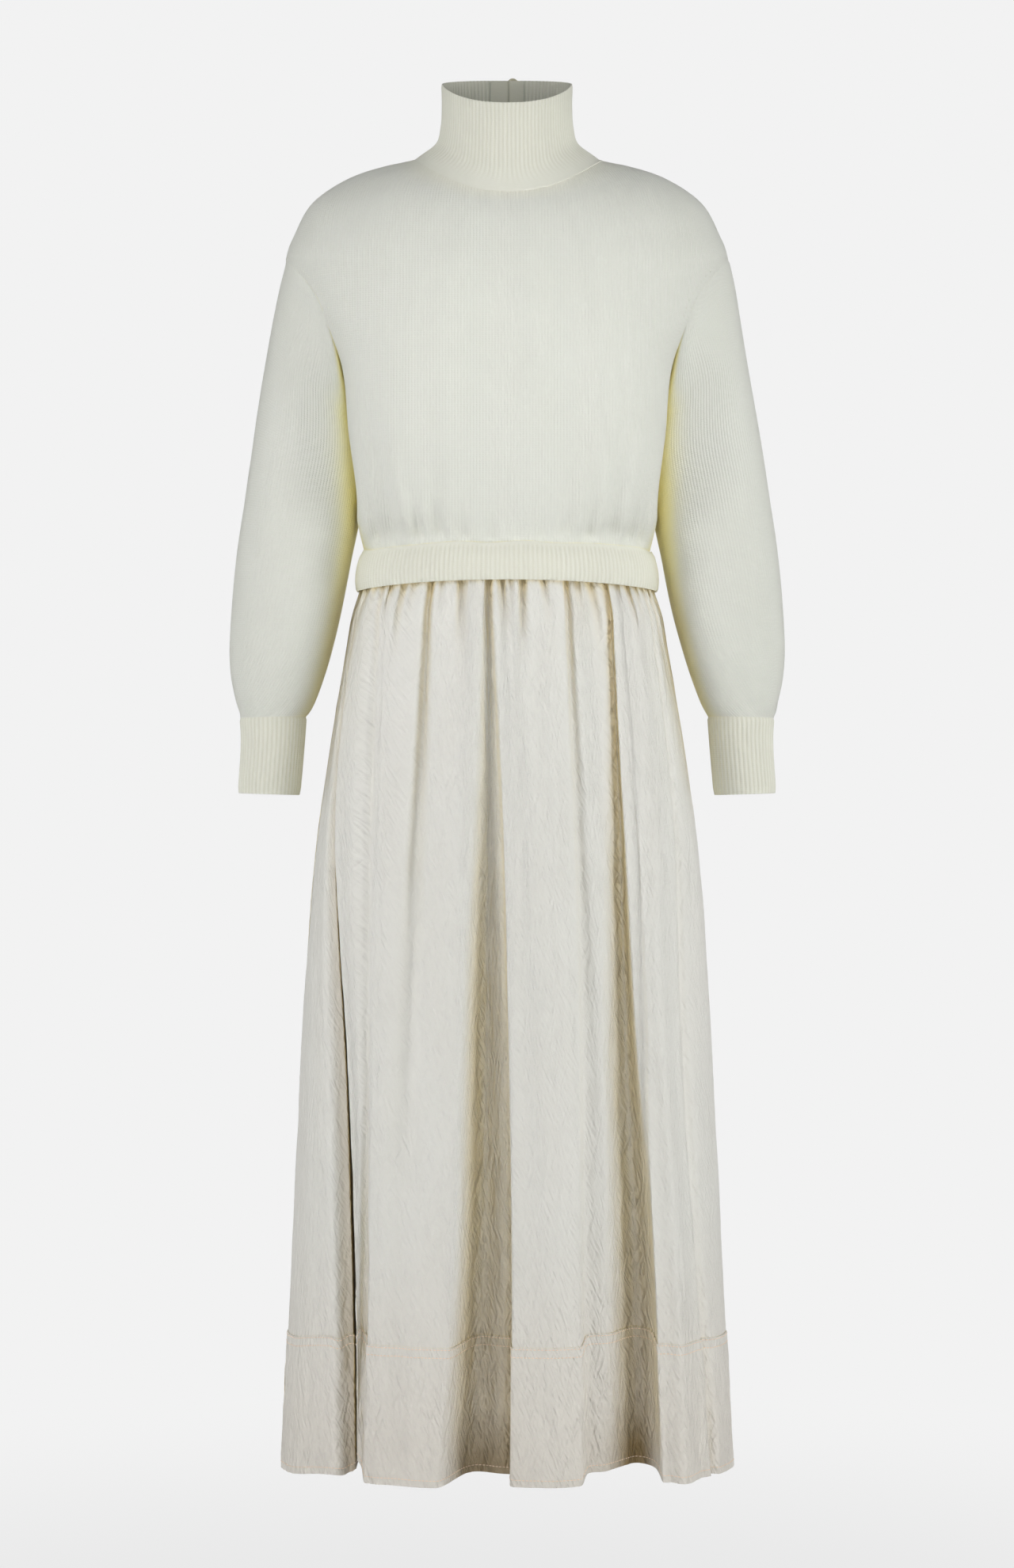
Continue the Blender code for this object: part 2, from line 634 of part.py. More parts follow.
def material(name, colour, roughness):
    """A plain finish with its own colour."""
    finish = bpy.data.materials.new(name)
    finish.use_nodes = True
    shader = finish.node_tree.nodes["Principled BSDF"]
    shader.inputs["Base Color"].default_value = (*colour, 1.0)
    shader.inputs["Roughness"].default_value = roughness
    shader.inputs["Metallic"].default_value = 0.0
    return finish


def clear_scene():
    """An empty scene to build in."""
    for thing in list(bpy.data.objects):
        bpy.data.objects.remove(thing, do_unlink=True)


def build():
    """All the pieces of the dress."""
    clear_scene()
    knit = [
        body_panel("front_body", 0.0),
        body_panel("back_body", math.pi),
        sleeve("sleeve_left", -1),
        sleeve("sleeve_right", 1),
    ]
    ribs = [
        collar("collar"),
        placket("placket_left", -1),
        placket("placket_right", 1),
        cuff("cuff_left", -1),
        cuff("cuff_right", 1),
        waistband("waistband"),
    ]
    band_start, half_gap = band_fall()
    skirt_falls = np.linspace(0, 1, SKIRT_ROWS + 1) ** 1.25 * (band_start - half_gap)
    band_falls = np.linspace(band_start + half_gap, 1, 3)
    woven = [
        skirt_panel("skirt_front", FRONT_FOLDS, 0.0, skirt_falls),
        skirt_panel("skirt_back", BACK_FOLDS, math.pi, skirt_falls),
        skirt_panel("hem_band_front", FRONT_FOLDS, 0.0, band_falls),
        skirt_panel("hem_band_back", BACK_FOLDS, math.pi, band_falls),
    ]
    fastening = [button("neck_button"), button_loop("button_loop")]
    finishes = (
        (knit, IVORY_KNIT, 0.9),
        (ribs, IVORY_RIB, 0.9),
        (woven, IVORY_WOVEN, 0.6),
        (fastening, BUTTON_IVORY, 0.35),
    )
    for pieces, colour, roughness in finishes:
        for piece in pieces:
            piece.data.materials.append(material(piece.name + "_finish", colour, roughness))


build()
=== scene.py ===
"""Looks of the turtleneck dress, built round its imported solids.

Each cloth piece is a thin closed shell on the form of its solid.  Ribs, folds, gathers,
creases and stitches are geometry; the finer knit and weave are bump in the materials.
Metres, +Z up, the front faces -Y.  Surfaces are grids of points: rows run up the piece.
"""

import math

import bpy
import numpy as np
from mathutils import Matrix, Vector

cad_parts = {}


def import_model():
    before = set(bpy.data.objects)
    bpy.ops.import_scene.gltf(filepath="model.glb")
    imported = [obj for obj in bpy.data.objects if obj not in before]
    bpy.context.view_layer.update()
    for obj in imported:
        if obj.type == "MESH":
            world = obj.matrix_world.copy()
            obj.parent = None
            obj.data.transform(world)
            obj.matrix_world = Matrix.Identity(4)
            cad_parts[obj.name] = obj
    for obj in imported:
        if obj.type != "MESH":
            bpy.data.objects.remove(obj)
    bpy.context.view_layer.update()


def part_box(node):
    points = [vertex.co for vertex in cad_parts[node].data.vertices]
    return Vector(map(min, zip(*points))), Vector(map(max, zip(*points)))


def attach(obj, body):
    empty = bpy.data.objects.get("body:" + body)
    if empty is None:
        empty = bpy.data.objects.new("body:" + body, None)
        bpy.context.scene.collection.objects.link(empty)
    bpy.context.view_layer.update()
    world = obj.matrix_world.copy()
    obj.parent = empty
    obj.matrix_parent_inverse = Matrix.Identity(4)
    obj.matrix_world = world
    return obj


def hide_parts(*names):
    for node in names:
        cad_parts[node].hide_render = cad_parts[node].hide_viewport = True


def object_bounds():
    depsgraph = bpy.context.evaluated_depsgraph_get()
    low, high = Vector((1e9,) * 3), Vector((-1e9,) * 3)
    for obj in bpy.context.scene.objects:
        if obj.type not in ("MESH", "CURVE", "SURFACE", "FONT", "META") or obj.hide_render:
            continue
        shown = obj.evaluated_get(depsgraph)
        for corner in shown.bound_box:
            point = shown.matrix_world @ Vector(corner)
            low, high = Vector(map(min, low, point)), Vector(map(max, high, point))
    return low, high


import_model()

# ---- cloth, in metres ----
KNIT_WALL = 0.0016
RIB_WALL = 0.0022
COLLAR_CLOTH = 0.0015       # wall of the collar's cloth
COLLAR_FOOT = np.array((0.16, 0.08, 0.02))   # rings below the neck seam that the collar covers
WOVEN_WALL = 0.0007
PLACKET_WALL = 0.0008
BAND_RISE = 0.0010          # the hem band lies on the skirt by this much
EDGE_LINE = 0.0004          # an extra line of points this far inside an edge keeps it crisp
COLLAR_WALL = 0.0026        # wall of the collar's solid, which the facing strips lie on

# ---- the solids' own tables ----
# half_width, side_z: where a ring crosses the side seam, armhole or shoulder seam
# front_y, front_z, back_y, back_z: where it crosses the middle of the front and back
BODY_RINGS = (
    # half_width  side_z  front_y  front_z   back_y   back_z
    (0.1365, -0.3785, -0.0990, -0.3735, 0.0860, -0.3740),   # waist seam
    (0.1440, -0.3440, -0.1080, -0.3400, 0.0930, -0.3400),   # fullness over the waist
    (0.1540, -0.2740, -0.1160, -0.2700, 0.0990, -0.2720),   # ribs
    (0.1630, -0.2010, -0.1200, -0.2030, 0.1050, -0.2010),   # underarm
    (0.1930, -0.1500, -0.1175, -0.1560, 0.1060, -0.1500),   # middle of the armhole
    (0.2120, -0.0970, -0.1120, -0.1180, 0.1030, -0.1000),   # top of the armhole
    (0.2045, -0.0690, -0.1070, -0.0980, 0.0985, -0.0730),   # round of the shoulder
    (0.1868, -0.0395, -0.1010, -0.0790, 0.0915, -0.0450),   # outer shoulder seam
    (0.1530, -0.0170, -0.0945, -0.0620, 0.0810, -0.0190),   # middle shoulder seam
    (0.1160, -0.0045, -0.0885, -0.0510, 0.0720, -0.0020),   # inner shoulder seam
    (0.0880, 0.0000, -0.0830, -0.0410, 0.0640, 0.0120),     # neck seam
)
UNDERARM_RING = 3
SHOULDER_RING = 5
NECK_RING = len(BODY_RINGS) - 1
BODY_SQUARENESS = 2.2
SIDE_FULLNESS = 1.7         # added squareness where the body blouses beside the sleeves
SIDE_TUCK = 0.014           # the body's side draws in behind its front edge by this much
SIDE_TUCK_DEPTH = 0.042
SHOULDER_SETTLE = 0.0034    # the knit sinks by this much over the shoulder
ARMHOLE_INSET = math.radians(28)
BUST_REACH = 0.0025         # the bust's fullness: how far it stands out, and its x and z
BUST_CENTRE = (0.070, -0.150)
BUST_SPREAD = (0.045, 0.055)

# half widths of the shoulder's rings, from one below its outer end to the neck seam
SHOULDER_LINE = ((0.2195,), (0.2120,), (0.2032,), (0.1863,), (0.1530,), (0.1160,), (0.0880,))

COLLAR_RINGS = (
    (0.0880, -0.0020, -0.0830, -0.0410, 0.0640, 0.0120),    # neck seam
    (0.0679, 0.0128, -0.0765, -0.0270, 0.0590, 0.0240),     # flare into the stand
    (0.0626, 0.0300, -0.0705, -0.0060, 0.0550, 0.0400),     # foot of the stand
    (0.0614, 0.0500, -0.0675, 0.0200, 0.0530, 0.0620),      # stand
    (0.0619, 0.0722, -0.0660, 0.0436, 0.0520, 0.0838),      # rim
)
SLIT_GAP = 0.0010           # width of the slit at the centre back
FACING_WIDTH = math.radians(15)
BUTTON_RADIUS = 0.0052
BUTTON_RAISE = 0.0009       # the button sits this much higher than its solid

SLEEVE_RINGS = (
    # inner_x  inner_z  outer_x  outer_z   mid_y   half_depth
    (0.1630, -0.2010, 0.2120, -0.0970, 0.0000, 0.0540),     # armhole
    (0.1602, -0.2320, 0.2200, -0.1290, 0.0100, 0.0600),
    (0.1556, -0.2620, 0.2310, -0.1880, 0.0200, 0.0630),
    (0.1484, -0.3000, 0.2430, -0.2560, 0.0280, 0.0640),     # upper arm
    (0.1452, -0.3450, 0.2525, -0.3200, 0.0300, 0.0630),
    (0.1510, -0.3880, 0.2600, -0.3740, 0.0270, 0.0620),     # elbow
    (0.1590, -0.4310, 0.2650, -0.4290, 0.0220, 0.0600),
    (0.1680, -0.4680, 0.2668, -0.4690, 0.0160, 0.0570),     # fullest forearm
    (0.1765, -0.4970, 0.2645, -0.4990, 0.0110, 0.0490),
    (0.1850, -0.5200, 0.2602, -0.5220, 0.0060, 0.0400),
    (0.1930, -0.5350, 0.2560, -0.5362, 0.0030, 0.0325),     # cuff seam
)
SLEEVE_TUCK = 0.0200        # the sleeve's inner side is drawn in to the body by this much
SLEEVE_CLEAR = 0.0016       # but stays this far outside it
SLEEVE_SET_BACK = 0.0020    # and it lies this much further back than its rings
CUFF_RINGS = (
    (0.1930, -0.5350, 0.2560, -0.5362, 0.0030, 0.0325),     # cuff seam
    (0.1948, -0.5600, 0.2548, -0.5615, 0.0020, 0.0312),
    (0.1990, -0.6100, 0.2576, -0.6080, 0.0010, 0.0305),     # wrist edge
)
WAISTBAND_RINGS = (
    (0.1389, -0.3776, -0.1014, -0.3727, 0.0884, -0.3732),   # waist seam
    (0.1417, -0.3853, -0.1045, -0.3803, 0.0920, -0.3808),
    (0.1441, -0.3956, -0.1071, -0.3906, 0.0946, -0.3916),   # fullest
    (0.1448, -0.4060, -0.1071, -0.4010, 0.0951, -0.4020),
    (0.1438, -0.4153, -0.1055, -0.4085, 0.0941, -0.4103),   # lower edge
)
SKIRT_RINGS = (
    # half_width front_y  back_y   z
    (0.1367, -0.0995, 0.0863, -0.3780),      # gathered edge, against the waistband
    (0.1376, -0.0986, 0.0870, -0.4100),      # lower edge of the waistband
    (0.1480, -0.1020, 0.0960, -0.4450),
    (0.1590, -0.1070, 0.1080, -0.4980),
    (0.1715, -0.1130, 0.1200, -0.5750),      # hip
    (0.1835, -0.1200, 0.1300, -0.6650),
    (0.1935, -0.1290, 0.1400, -0.7950),
    (0.2005, -0.1370, 0.1490, -0.9400),
    (0.2080, -0.1450, 0.1570, -1.0950),
    (0.2150, -0.1500, 0.1620, -1.2510),      # hem
)
SKIRT_SQUARENESS = 2.1
SIDE_DROOP = 0.0018         # how far the skirt's side seams hang below its rings
SKIRT_PUFF = 0.022          # share by which the skirt swells just under its gathered edge
HEM_BAND_HEIGHT = 0.1250
BAND_LAP = 0.004            # share of the fall by which the band laps over the skirt
BAND_SEAMS = (-0.0022, 0.0064)      # stitch rows at the band's seam, as shares of the fall
HEM_SEAM = 0.0072           # and over the hem
HEM_LIFT = 0.09             # share of a fold's depth by which its hem rises
LAP_SPREAD = 0.5            # how far a lip's overhang reaches, as a share of the groove's width
FULL_DEPTH = 0.04           # a fold this deep is crinkled and shaded in full
CRINKLE = 0.0006            # height of the crinkle in the open
DEEP_CRINKLE = 0.0009       # and added to it deep in a fold or on the hem band
WARM_FROM, WARM_TO = -0.60, -0.87   # heights, from the waist seam, over which the skirt warms

# Folds of the skirt.  A value is one number, or five: top, quarter, half, three quarters, hem.
FOLD_DEFAULTS = dict(
    angle=0,                    # where the groove runs, degrees from the middle of its side
    depth=0,                    # mm in from the round of the skirt; a roll outward is negative
    left=3, right=3,            # how far the groove reaches to each side, degrees
    lap_left=0, lap_right=0,    # mm by which each lip overhangs the groove
    flat=1,                     # above 1 the groove has a flatter floor and steeper sides
    drop_left=0, drop_right=0,  # mm by which the cloth beside each lip rolls in
    lift=0,                     # mm by which the groove's hem is raised
    # dark below is painted shade: it darkens and warms the groove's colour.
    dark=0,                     # how much warmer and darker the cloth is in the groove
)
ROLL_REACH = 9.0                # degrees over which the cloth beside a lip rolls in
FRONT_FOLDS = (
    # the left hip panel, whose hem hangs a little short
    dict(angle=(-82, -74, -62, -54, -48), left=24, right=5, lift=5.5),
    # crease behind the left hip panel
    dict(angle=(-80, -67.8, -51.8, -44.6, -40.6), depth=(3, 4, 9, 13, 16),
         left=(4, 6, 9, 8, 7.5), right=1.2, lift=7, dark=(0.1, 0.3, 0.5, 0.55, 0.55)),
    # narrow gap at the bottom of that crease
    dict(angle=(-79, -66.8, -51.0, -43.6, -39.6), depth=(0, 6, 20, 32, 40), left=0.9, right=1.0,
         lap_right=(0, 0.5, 1, 1.4, 1.6), dark=(0, 0.5, 1, 1, 1)),
    # narrow strip of cloth between the gap and the wide panel, whose hem is drawn up
    dict(angle=(-68, -56, -46, -41, -38.8), left=2.4, right=1.6, lift=9),
    # left edge of the wide left panel
    dict(angle=(-57, -45.5, -40.8, -38.7, -37.9), depth=(5, 4, 4, 8, 12),
         left=(3, 4, 3.5, 3.5, 2.6), right=(2, 1.8, 1.8, 2, 2), lap_right=(1, 1, 2, 3, 3),
         flat=(1, 1, 1, 1, 2), drop_right=(0, 0, 1, 2, 4), lift=9),
    # soft groove that fades
    dict(angle=(-29.5, -26.3, -26.8, -28, -28), depth=(8, 10, 7, 4, 3),
         left=(2.4, 4.5, 6, 6, 6), right=(2.2, 3.6, 4.5, 5, 5)),
    # main fold, under the left edge of the middle panel, with its deepest part to the left
    dict(angle=(-9.5, -6.0, -5.4, -6.8, -8.6), depth=(0, 4, 13, 17, 14),
         left=(2, 5, 6, 6.5, 8), right=(2, 3, 5.5, 7.5, 9)),
    dict(angle=(-6.8, -2.8, -0.85, 0.6, 0.6), depth=(7, 14, 25, 34, 40),
         left=(1.9, 7, 11.5, 13.5, 18), right=(1.9, 2.6, 3.6, 4.2, 4.6),
         lap_left=(1.5, 0, 0, 0, 0), lap_right=(0, 3, 9, 14, 17),
         flat=(1, 1.2, 1.6, 1.8, 2.0), drop_right=(0, 1, 4, 7, 9), lift=4),
    # narrow groove along the right edge of the middle panel
    dict(angle=(21.6, 19.9, 20.4, 21, 21), depth=(5, 5, 3.5, 2, 1), left=(1.9, 3, 3.6, 4, 4),
         right=(2.4, 4, 5.5, 6, 6), lap_left=(1.5, 1, 0, 0, 0)),
    # shallow flat recess between the middle and the right panel
    dict(angle=30, depth=(3, 4.5, 8, 12, 16), left=(10.4, 12.4, 13.1, 13.7, 14.3), right=12,
         lap_left=(1, 2, 5, 6, 6), flat=7, drop_left=(0, 1, 3, 5, 7), lift=10),
    # valley in that recess, against the right panel
    dict(angle=(41.5, 35.4, 33.2, 33.8, 33), depth=(4, 12, 23, 28, 27), left=(2, 6.5, 8, 9, 11),
         right=(2, 3.2, 5.6, 8.6, 9.5), lap_right=(1, 4, 4, 3, 0),
         dark=(0, 0.05, 0.12, 0.1, 0.3)),
    # full round of the right panel
    dict(angle=(52, 50, 47.5, 50, 50), depth=(0, -3, -8, -12, -14), left=7, right=8),
    # thin crease on the right hip
    dict(angle=(66.5, 61.5, 56.5, 58.8, 63), depth=(3, 4, 5, 6, 8), left=1.8,
         right=(4, 5, 5, 6, 6), lap_left=(1, 1.5, 2, 2.5, 3)),
)
BACK_FOLDS = (
    dict(angle=(-63, -60, -57, -55, -53), depth=(4, 8, 14, 18, 22), left=(4, 6, 8, 9, 9),
         right=(2.2, 2.6, 2.8, 3, 3.4), lap_right=(0, 2, 4, 5, 6), lift=4),
    dict(angle=(-36, -33, -31, -30, -29), depth=(7, 15, 32, 42, 50), left=(2, 2.8, 3.4, 4, 4.4),
         right=(3, 6, 12, 15, 20), lap_left=(1, 3, 8, 11, 13), flat=(1, 1.2, 1.4, 1.6, 1.5),
         drop_left=(0, 1, 4, 6, 8)),
    dict(angle=(-9, -8, -7, -4.5, -2), depth=(8, 10, 6, 5, 7), left=(2.4, 3, 5, 7, 8),
         right=(2.4, 3, 5, 6, 7), lap_right=(0, 0, 0, 1, 2)),
    dict(angle=(16, 18, 20, 21.5, 23), depth=(7, 16, 34, 46, 54), left=(2, 6, 12, 15, 20),
         right=(2, 2.8, 3.6, 4.2, 4.6), lap_right=(0, 3, 9, 13, 15),
         flat=(1, 1.2, 1.4, 1.6, 1.5), drop_right=(0, 1, 4, 6, 8)),
    dict(angle=(41, 41.5, 42, 42, 42), depth=(7, 8, 5, 4, 5), left=(2.4, 3, 5, 6, 6),
         right=(2.4, 4, 6, 7, 7)),
    dict(angle=(58, 58, 59, 60, 62), depth=(4, 9, 16, 20, 24), left=(2.4, 2.8, 3, 3.4, 3.6),
         right=(4, 6, 8, 9, 9), lap_left=(0, 2, 4, 5, 6), lift=5),
)
# Small gathers under the waistband: angle and lean in degrees, depth in mm, reach to the left
# and to the right in degrees, and length as a share of the fall.
FRONT_GATHERS = (
    (-84, 1, 4, 3, 3, 0.12),
    (-70.5, -5, 3.5, 2.5, 3.5, 0.13),
    (-64, 2, 4, 1.6, 1.8, 0.09),
    (-49.2, -1, 6, 1.5, 1.7, 0.11),
    (-42, 0.5, 7, 2.2, 1.4, 0.17),
    (-36.8, -1, 5, 1.6, 1.8, 0.10),
    (-24.8, 0.5, 4.5, 1.2, 1.3, 0.08),
    (-17.6, 4.5, 6.5, 1.8, 2.6, 0.19),
    (-2.2, 2.6, 7.5, 1.5, 1.4, 0.14),
    (0.9, 0.4, 4.5, 1.1, 1.1, 0.10),
    (5.6, -1.4, 7.5, 1.5, 1.7, 0.17),
    (12.6, 1.6, 5.5, 1.4, 1.6, 0.11),
    (26.6, 0.6, 4, 1.3, 1.3, 0.09),
    (31.6, 3.6, 6.5, 1.6, 2, 0.17),
    (46.4, -0.5, 4.5, 1.4, 1.4, 0.09),
    (51.8, 1.6, 6, 1.5, 1.8, 0.14),
    (57.4, 2.2, 5, 1.4, 1.6, 0.10),
    (62, 4, 4, 1.4, 1.6, 0.08),
    (72, 4.5, 5, 2, 2.2, 0.17),
    (80, 3, 4, 2.4, 2.4, 0.12),
)
BACK_GATHERS = (
    (-83, -1, 4, 2.8, 3, 0.12),
    (-74, -3, 5, 2, 2.6, 0.16),
    (-67.5, -1.5, 4.5, 1.6, 1.6, 0.10),
    (-56, 1.5, 6, 1.6, 2.2, 0.15),
    (-50.5, 0.5, 5, 1.4, 1.5, 0.09),
    (-44, -1.5, 7, 1.8, 1.6, 0.18),
    (-30, 2, 5, 1.3, 1.5, 0.10),
    (-24.5, 2.5, 6.5, 1.6, 2.2, 0.17),
    (-17, 0.5, 5, 1.4, 1.4, 0.10),
    (-3.5, 1, 6, 1.5, 1.5, 0.12),
    (2, 2.2, 7, 1.5, 2, 0.18),
    (8.5, -0.6, 5, 1.3, 1.4, 0.09),
    (22.5, 1.4, 6, 1.5, 1.7, 0.13),
    (28, 2.6, 7, 1.6, 2, 0.17),
    (34.5, 0.6, 5, 1.4, 1.4, 0.10),
    (47, 1, 6.5, 1.6, 1.8, 0.15),
    (52.5, 0.8, 5, 1.4, 1.4, 0.09),
    (66, 3, 5.5, 1.8, 2, 0.14),
    (74, 2, 5, 2, 2.2, 0.12),
    (82, 2, 4, 2.4, 2.4, 0.13),
)

# ---- how finely the pieces are divided ----
BODY_COLUMNS = 147
BODY_ROWS = (56, 46, 34)    # below the armhole, beside it, and over the shoulder
SLEEVE_COLUMNS, SLEEVE_ROWS = 128, 104
RIB_COLUMNS, WAIST_RIB_COLUMNS = 7, 5       # to each rib
RIB_ROWS, COLLAR_ROWS = 16, 26
PLACKET_COLUMNS = 14
FRONT_COLUMNS, BACK_COLUMNS = 480, 420      # of the skirt
GATHER_ROWS, FALL_ROWS, BAND_ROWS = 34, 62, 22
FINE_PLACES = 600           # at which a curve is measured before its points are spaced

# ---- knit, rib and stitches ----
WALE, COURSE = 0.0029, 0.0021       # width and height of a stitch of the jersey
RIB_COURSE = 0.0019         # height of a stitch of the ribs
KNIT_WAVE = 0.0010          # height of the knit's soft unevenness
SEAM_DIP, SEAM_ROLL = 0.0005, 0.0004        # relief of the cloth beside the armhole seam
COLLAR_RIB = 0.0039         # width of one rib
WAIST_RIB = 0.00443
CUFF_RIB = 0.00427
RIB_RELIEF = 0.0011
RIB_SINK = 0.0003           # how far the valleys lie inside the solid's face
COLLAR_RELIEF = 0.0008
COLLAR_RISE = 0.0004        # the collar's foot lies on the body by this much
STITCH = dict(dash=0.0028, gap=0.0007, radius=0.00042)
MARK = dict(dash=0.0022, gap=0.0060, radius=0.0005)     # fashioning marks at the armholes
LOOP_TWIST = 0.0045         # length of one turn of the button loop's threads
LINK_RIDGE, LINK_WAVE = 0.0007, 0.0009      # the linked seam above the waistband, scalloped
PLACKET_CLEAR = 0.0004      # between a facing strip and the collar

# ---- colours, as linear red, green and blue ----
# Noise mixes the two colours of a pair, but for the deep folds', which height mixes.
JERSEY = ((0.642, 0.652, 0.586), (0.674, 0.684, 0.626))
JERSEY_NECK = (0.690, 0.685, 0.580)         # near the neck seam
# Painted shade: a warm yellow for the jersey where other cloth is close, standing in for light
# bounced between the cloth.
JERSEY_PAINTED_SHADE = (0.84, 0.76, 0.30)          # where other cloth is close
RIB = ((0.690, 0.692, 0.600), (0.725, 0.727, 0.643))
# Painted shade in the valleys between the ribs.
RIB_VALLEY_SHADE = (0.54, 0.53, 0.41)
# Painted shade where the rib knit is enclosed: a pale warm one for cuffs and waistband, a dark
# grey-green one inside the collar.
RIB_PAINTED_SHADE = (0.74, 0.72, 0.54)
COLLAR_PAINTED_SHADE = (0.44, 0.46, 0.38)
WOVEN = ((0.660, 0.640, 0.588), (0.718, 0.708, 0.665))
WOVEN_PATCH = (0.672, 0.682, 0.630)         # larger, greener clouds
WOVEN_LOW = (0.720, 0.665, 0.588)           # towards the hem
# Painted shade: a tan for the woven cloth in folds and under the waistband.
WOVEN_PAINTED_SHADE = (0.78, 0.62, 0.26)
# Painted shade in the skirt's folds: tan just below the waist, dark brown lower down.
DEEP_FOLD_SHADE = ((0.66, 0.52, 0.27), (0.25, 0.175, 0.075))      # just below the waist, and lower
BUTTON = ((0.40, 0.38, 0.26), (0.50, 0.48, 0.35))
THREAD = ((0.80, 0.63, 0.48), (0.90, 0.74, 0.60))


# ---- reading the tables ----

def along(rows, place):
    """Rows at places between the rows of a table, on a smooth curve through them."""
    rows = np.asarray(rows, dtype=float)
    last = len(rows) - 1
    place = np.clip(np.asarray(place, dtype=float), 0.0, last)
    first = np.minimum(place.astype(int), last - 1)
    part = (place - first)[..., None]
    longer = np.vstack((2 * rows[0] - rows[1], rows, 2 * rows[-1] - rows[-2]))
    before, here, after, beyond = (longer[first + step] for step in range(4))
    slope_in = (after - before) / 2
    slope_out = (beyond - here) / 2
    turn = 3 * (after - here) - 2 * slope_in - slope_out
    settle = 2 * (here - after) + slope_in + slope_out
    return here + part * (slope_in + part * (turn + part * settle))


def ring_points(rows, angle, squareness):
    """Points of body rings; angle 0 is the middle front and 90 degrees the +X side."""
    half_width, side_z, front_y, front_z, back_y, back_z = np.moveaxis(rows, -1, 0)
    across, forward = np.sin(angle), np.cos(angle)
    power = 2 / squareness
    middle_y = np.where(forward >= 0, front_y, back_y)
    middle_z = np.where(forward >= 0, front_z, back_z)
    x = half_width * np.sign(across) * np.abs(across) ** power
    y = middle_y * np.abs(forward) ** power
    z = middle_z + (side_z - middle_z) * across ** 2
    return np.stack((x, y, z), axis=-1)


def unit(vectors):
    """The vectors at length 1."""
    return vectors / np.linalg.norm(vectors, axis=-1, keepdims=True)


def smooth(value, low, high):
    """0 below low, 1 above high, and a smooth step between them."""
    share = np.clip((value - low) / (high - low), 0.0, 1.0)
    return share * share * (3 - 2 * share)


def bump_at(value, centre, spread):
    """A round bump of height 1 about a centre."""
    return np.exp(-((value - centre) / spread) ** 2)


def over(points, across, up):
    """The grid of points(across, up) over a row of places and a column of places."""
    return points(across + 0 * up, up + 0 * across)


# ---- noise ----

def noise(seed, u, v):
    """Smooth noise from -1 to 1 with cells of one unit."""
    table = np.random.default_rng(seed).uniform(-1, 1, (256, 256))
    column, row = np.floor(u).astype(int), np.floor(v).astype(int)
    x, y = u - column, v - row
    x, y = x * x * (3 - 2 * x), y * y * (3 - 2 * y)

    def corner(right, up):
        return table[(column + right) % 256, (row + up) % 256]
    low = corner(0, 0) * (1 - x) + corner(1, 0) * x
    high = corner(0, 1) * (1 - x) + corner(1, 1) * x
    return low * (1 - y) + high * y


def crinkle(seed, u, v):
    """Relief of finely crinkled cloth, from about -1 to 1: slanted ridges of three sizes."""
    u = u + 0.006 * noise(seed + 9, u / 0.05, v / 0.09)
    relief = np.zeros(np.broadcast(u, v).shape)
    for step, (width, length, slant, share) in enumerate((
            (0.017, 0.075, 0.16, 0.42),
            (0.010, 0.042, -0.20, 0.34),
            (0.0065, 0.026, 0.26, 0.24))):
        field = noise(seed + step, (u + slant * v) / width, v / length)
        relief += share * (1 - 2.2 * np.abs(field))
    return relief


# ---- surfaces ----

def normals_of(grid, wraps):
    """Unit normals of a grid of points, pointing away from the middle of each row."""
    up = np.gradient(grid, axis=0)
    if wraps:
        across = np.roll(grid, -1, axis=1) - np.roll(grid, 1, axis=1)
    else:
        across = np.gradient(grid, axis=1)
    normals = np.cross(across, up)
    normals /= np.maximum(np.linalg.norm(normals, axis=2, keepdims=True), 1e-12)
    outward = np.sum(normals * (grid - grid.mean(axis=1, keepdims=True)))
    return normals if outward > 0 else -normals


def lift(grid, height, wraps):
    """The grid moved out along its normals."""
    return grid + normals_of(grid, wraps) * np.asarray(height)[..., None]


def lengths(grid):
    """Cloth coordinates in metres: across from the middle column, and up from the bottom."""
    across = np.linalg.norm(np.diff(grid, axis=1), axis=2)
    across = np.concatenate((np.zeros((len(grid), 1)), np.cumsum(across, axis=1)), axis=1)
    up = np.linalg.norm(np.diff(grid, axis=0), axis=2).mean(axis=1)
    up = np.concatenate(((0,), np.cumsum(up)))
    middle = across[:, grid.shape[1] // 2]
    return across - middle[:, None], np.repeat(up[:, None], grid.shape[1], axis=1)


def run_along(line):
    """The distance along a line to each of its points."""
    steps = np.linalg.norm(np.diff(line, axis=0), axis=1)
    return np.concatenate(((0,), np.cumsum(steps)))


def even_places(point, low, high, count):
    """Places from low to high whose points are evenly spaced along point(places)."""
    fine = np.linspace(low, high, FINE_PLACES)
    run = run_along(point(fine))
    return np.interp(np.linspace(0, run[-1], count), run, fine)


def rib_places(point, low, high, pitch, columns):
    """Places across a ribbed piece, so many columns to each rib, and the ribs' relief there."""
    count = round(run_along(point(np.linspace(low, high, FINE_PLACES)))[-1] / pitch)
    places = even_places(point, low, high, columns * count + 1)
    return places[None, :], ribs(np.arange(columns * count + 1)[None, :] / columns)


def mesh_object(name, points, faces):
    """An object from points and four-sided faces, shaded smooth."""
    data = bpy.data.meshes.new(name)
    data.vertices.add(len(points))
    data.vertices.foreach_set("co", points.astype(np.float32).ravel())
    data.loops.add(faces.size)
    data.loops.foreach_set("vertex_index", faces.astype(np.int32).ravel())
    data.polygons.add(len(faces))
    data.polygons.foreach_set("loop_start", np.arange(0, faces.size, 4, dtype=np.int32))
    data.update(calc_edges=True)
    data.shade_smooth()
    thing = bpy.data.objects.new(name, data)
    bpy.context.scene.collection.objects.link(thing)
    return thing


def quads(index, wraps):
    """Faces of a grid of point numbers."""
    if wraps:
        index = np.concatenate((index, index[:, :1]), axis=1)
    return np.stack((index[:-1, :-1], index[:-1, 1:], index[1:, 1:], index[1:, :-1]),
                    axis=-1).reshape(-1, 4)


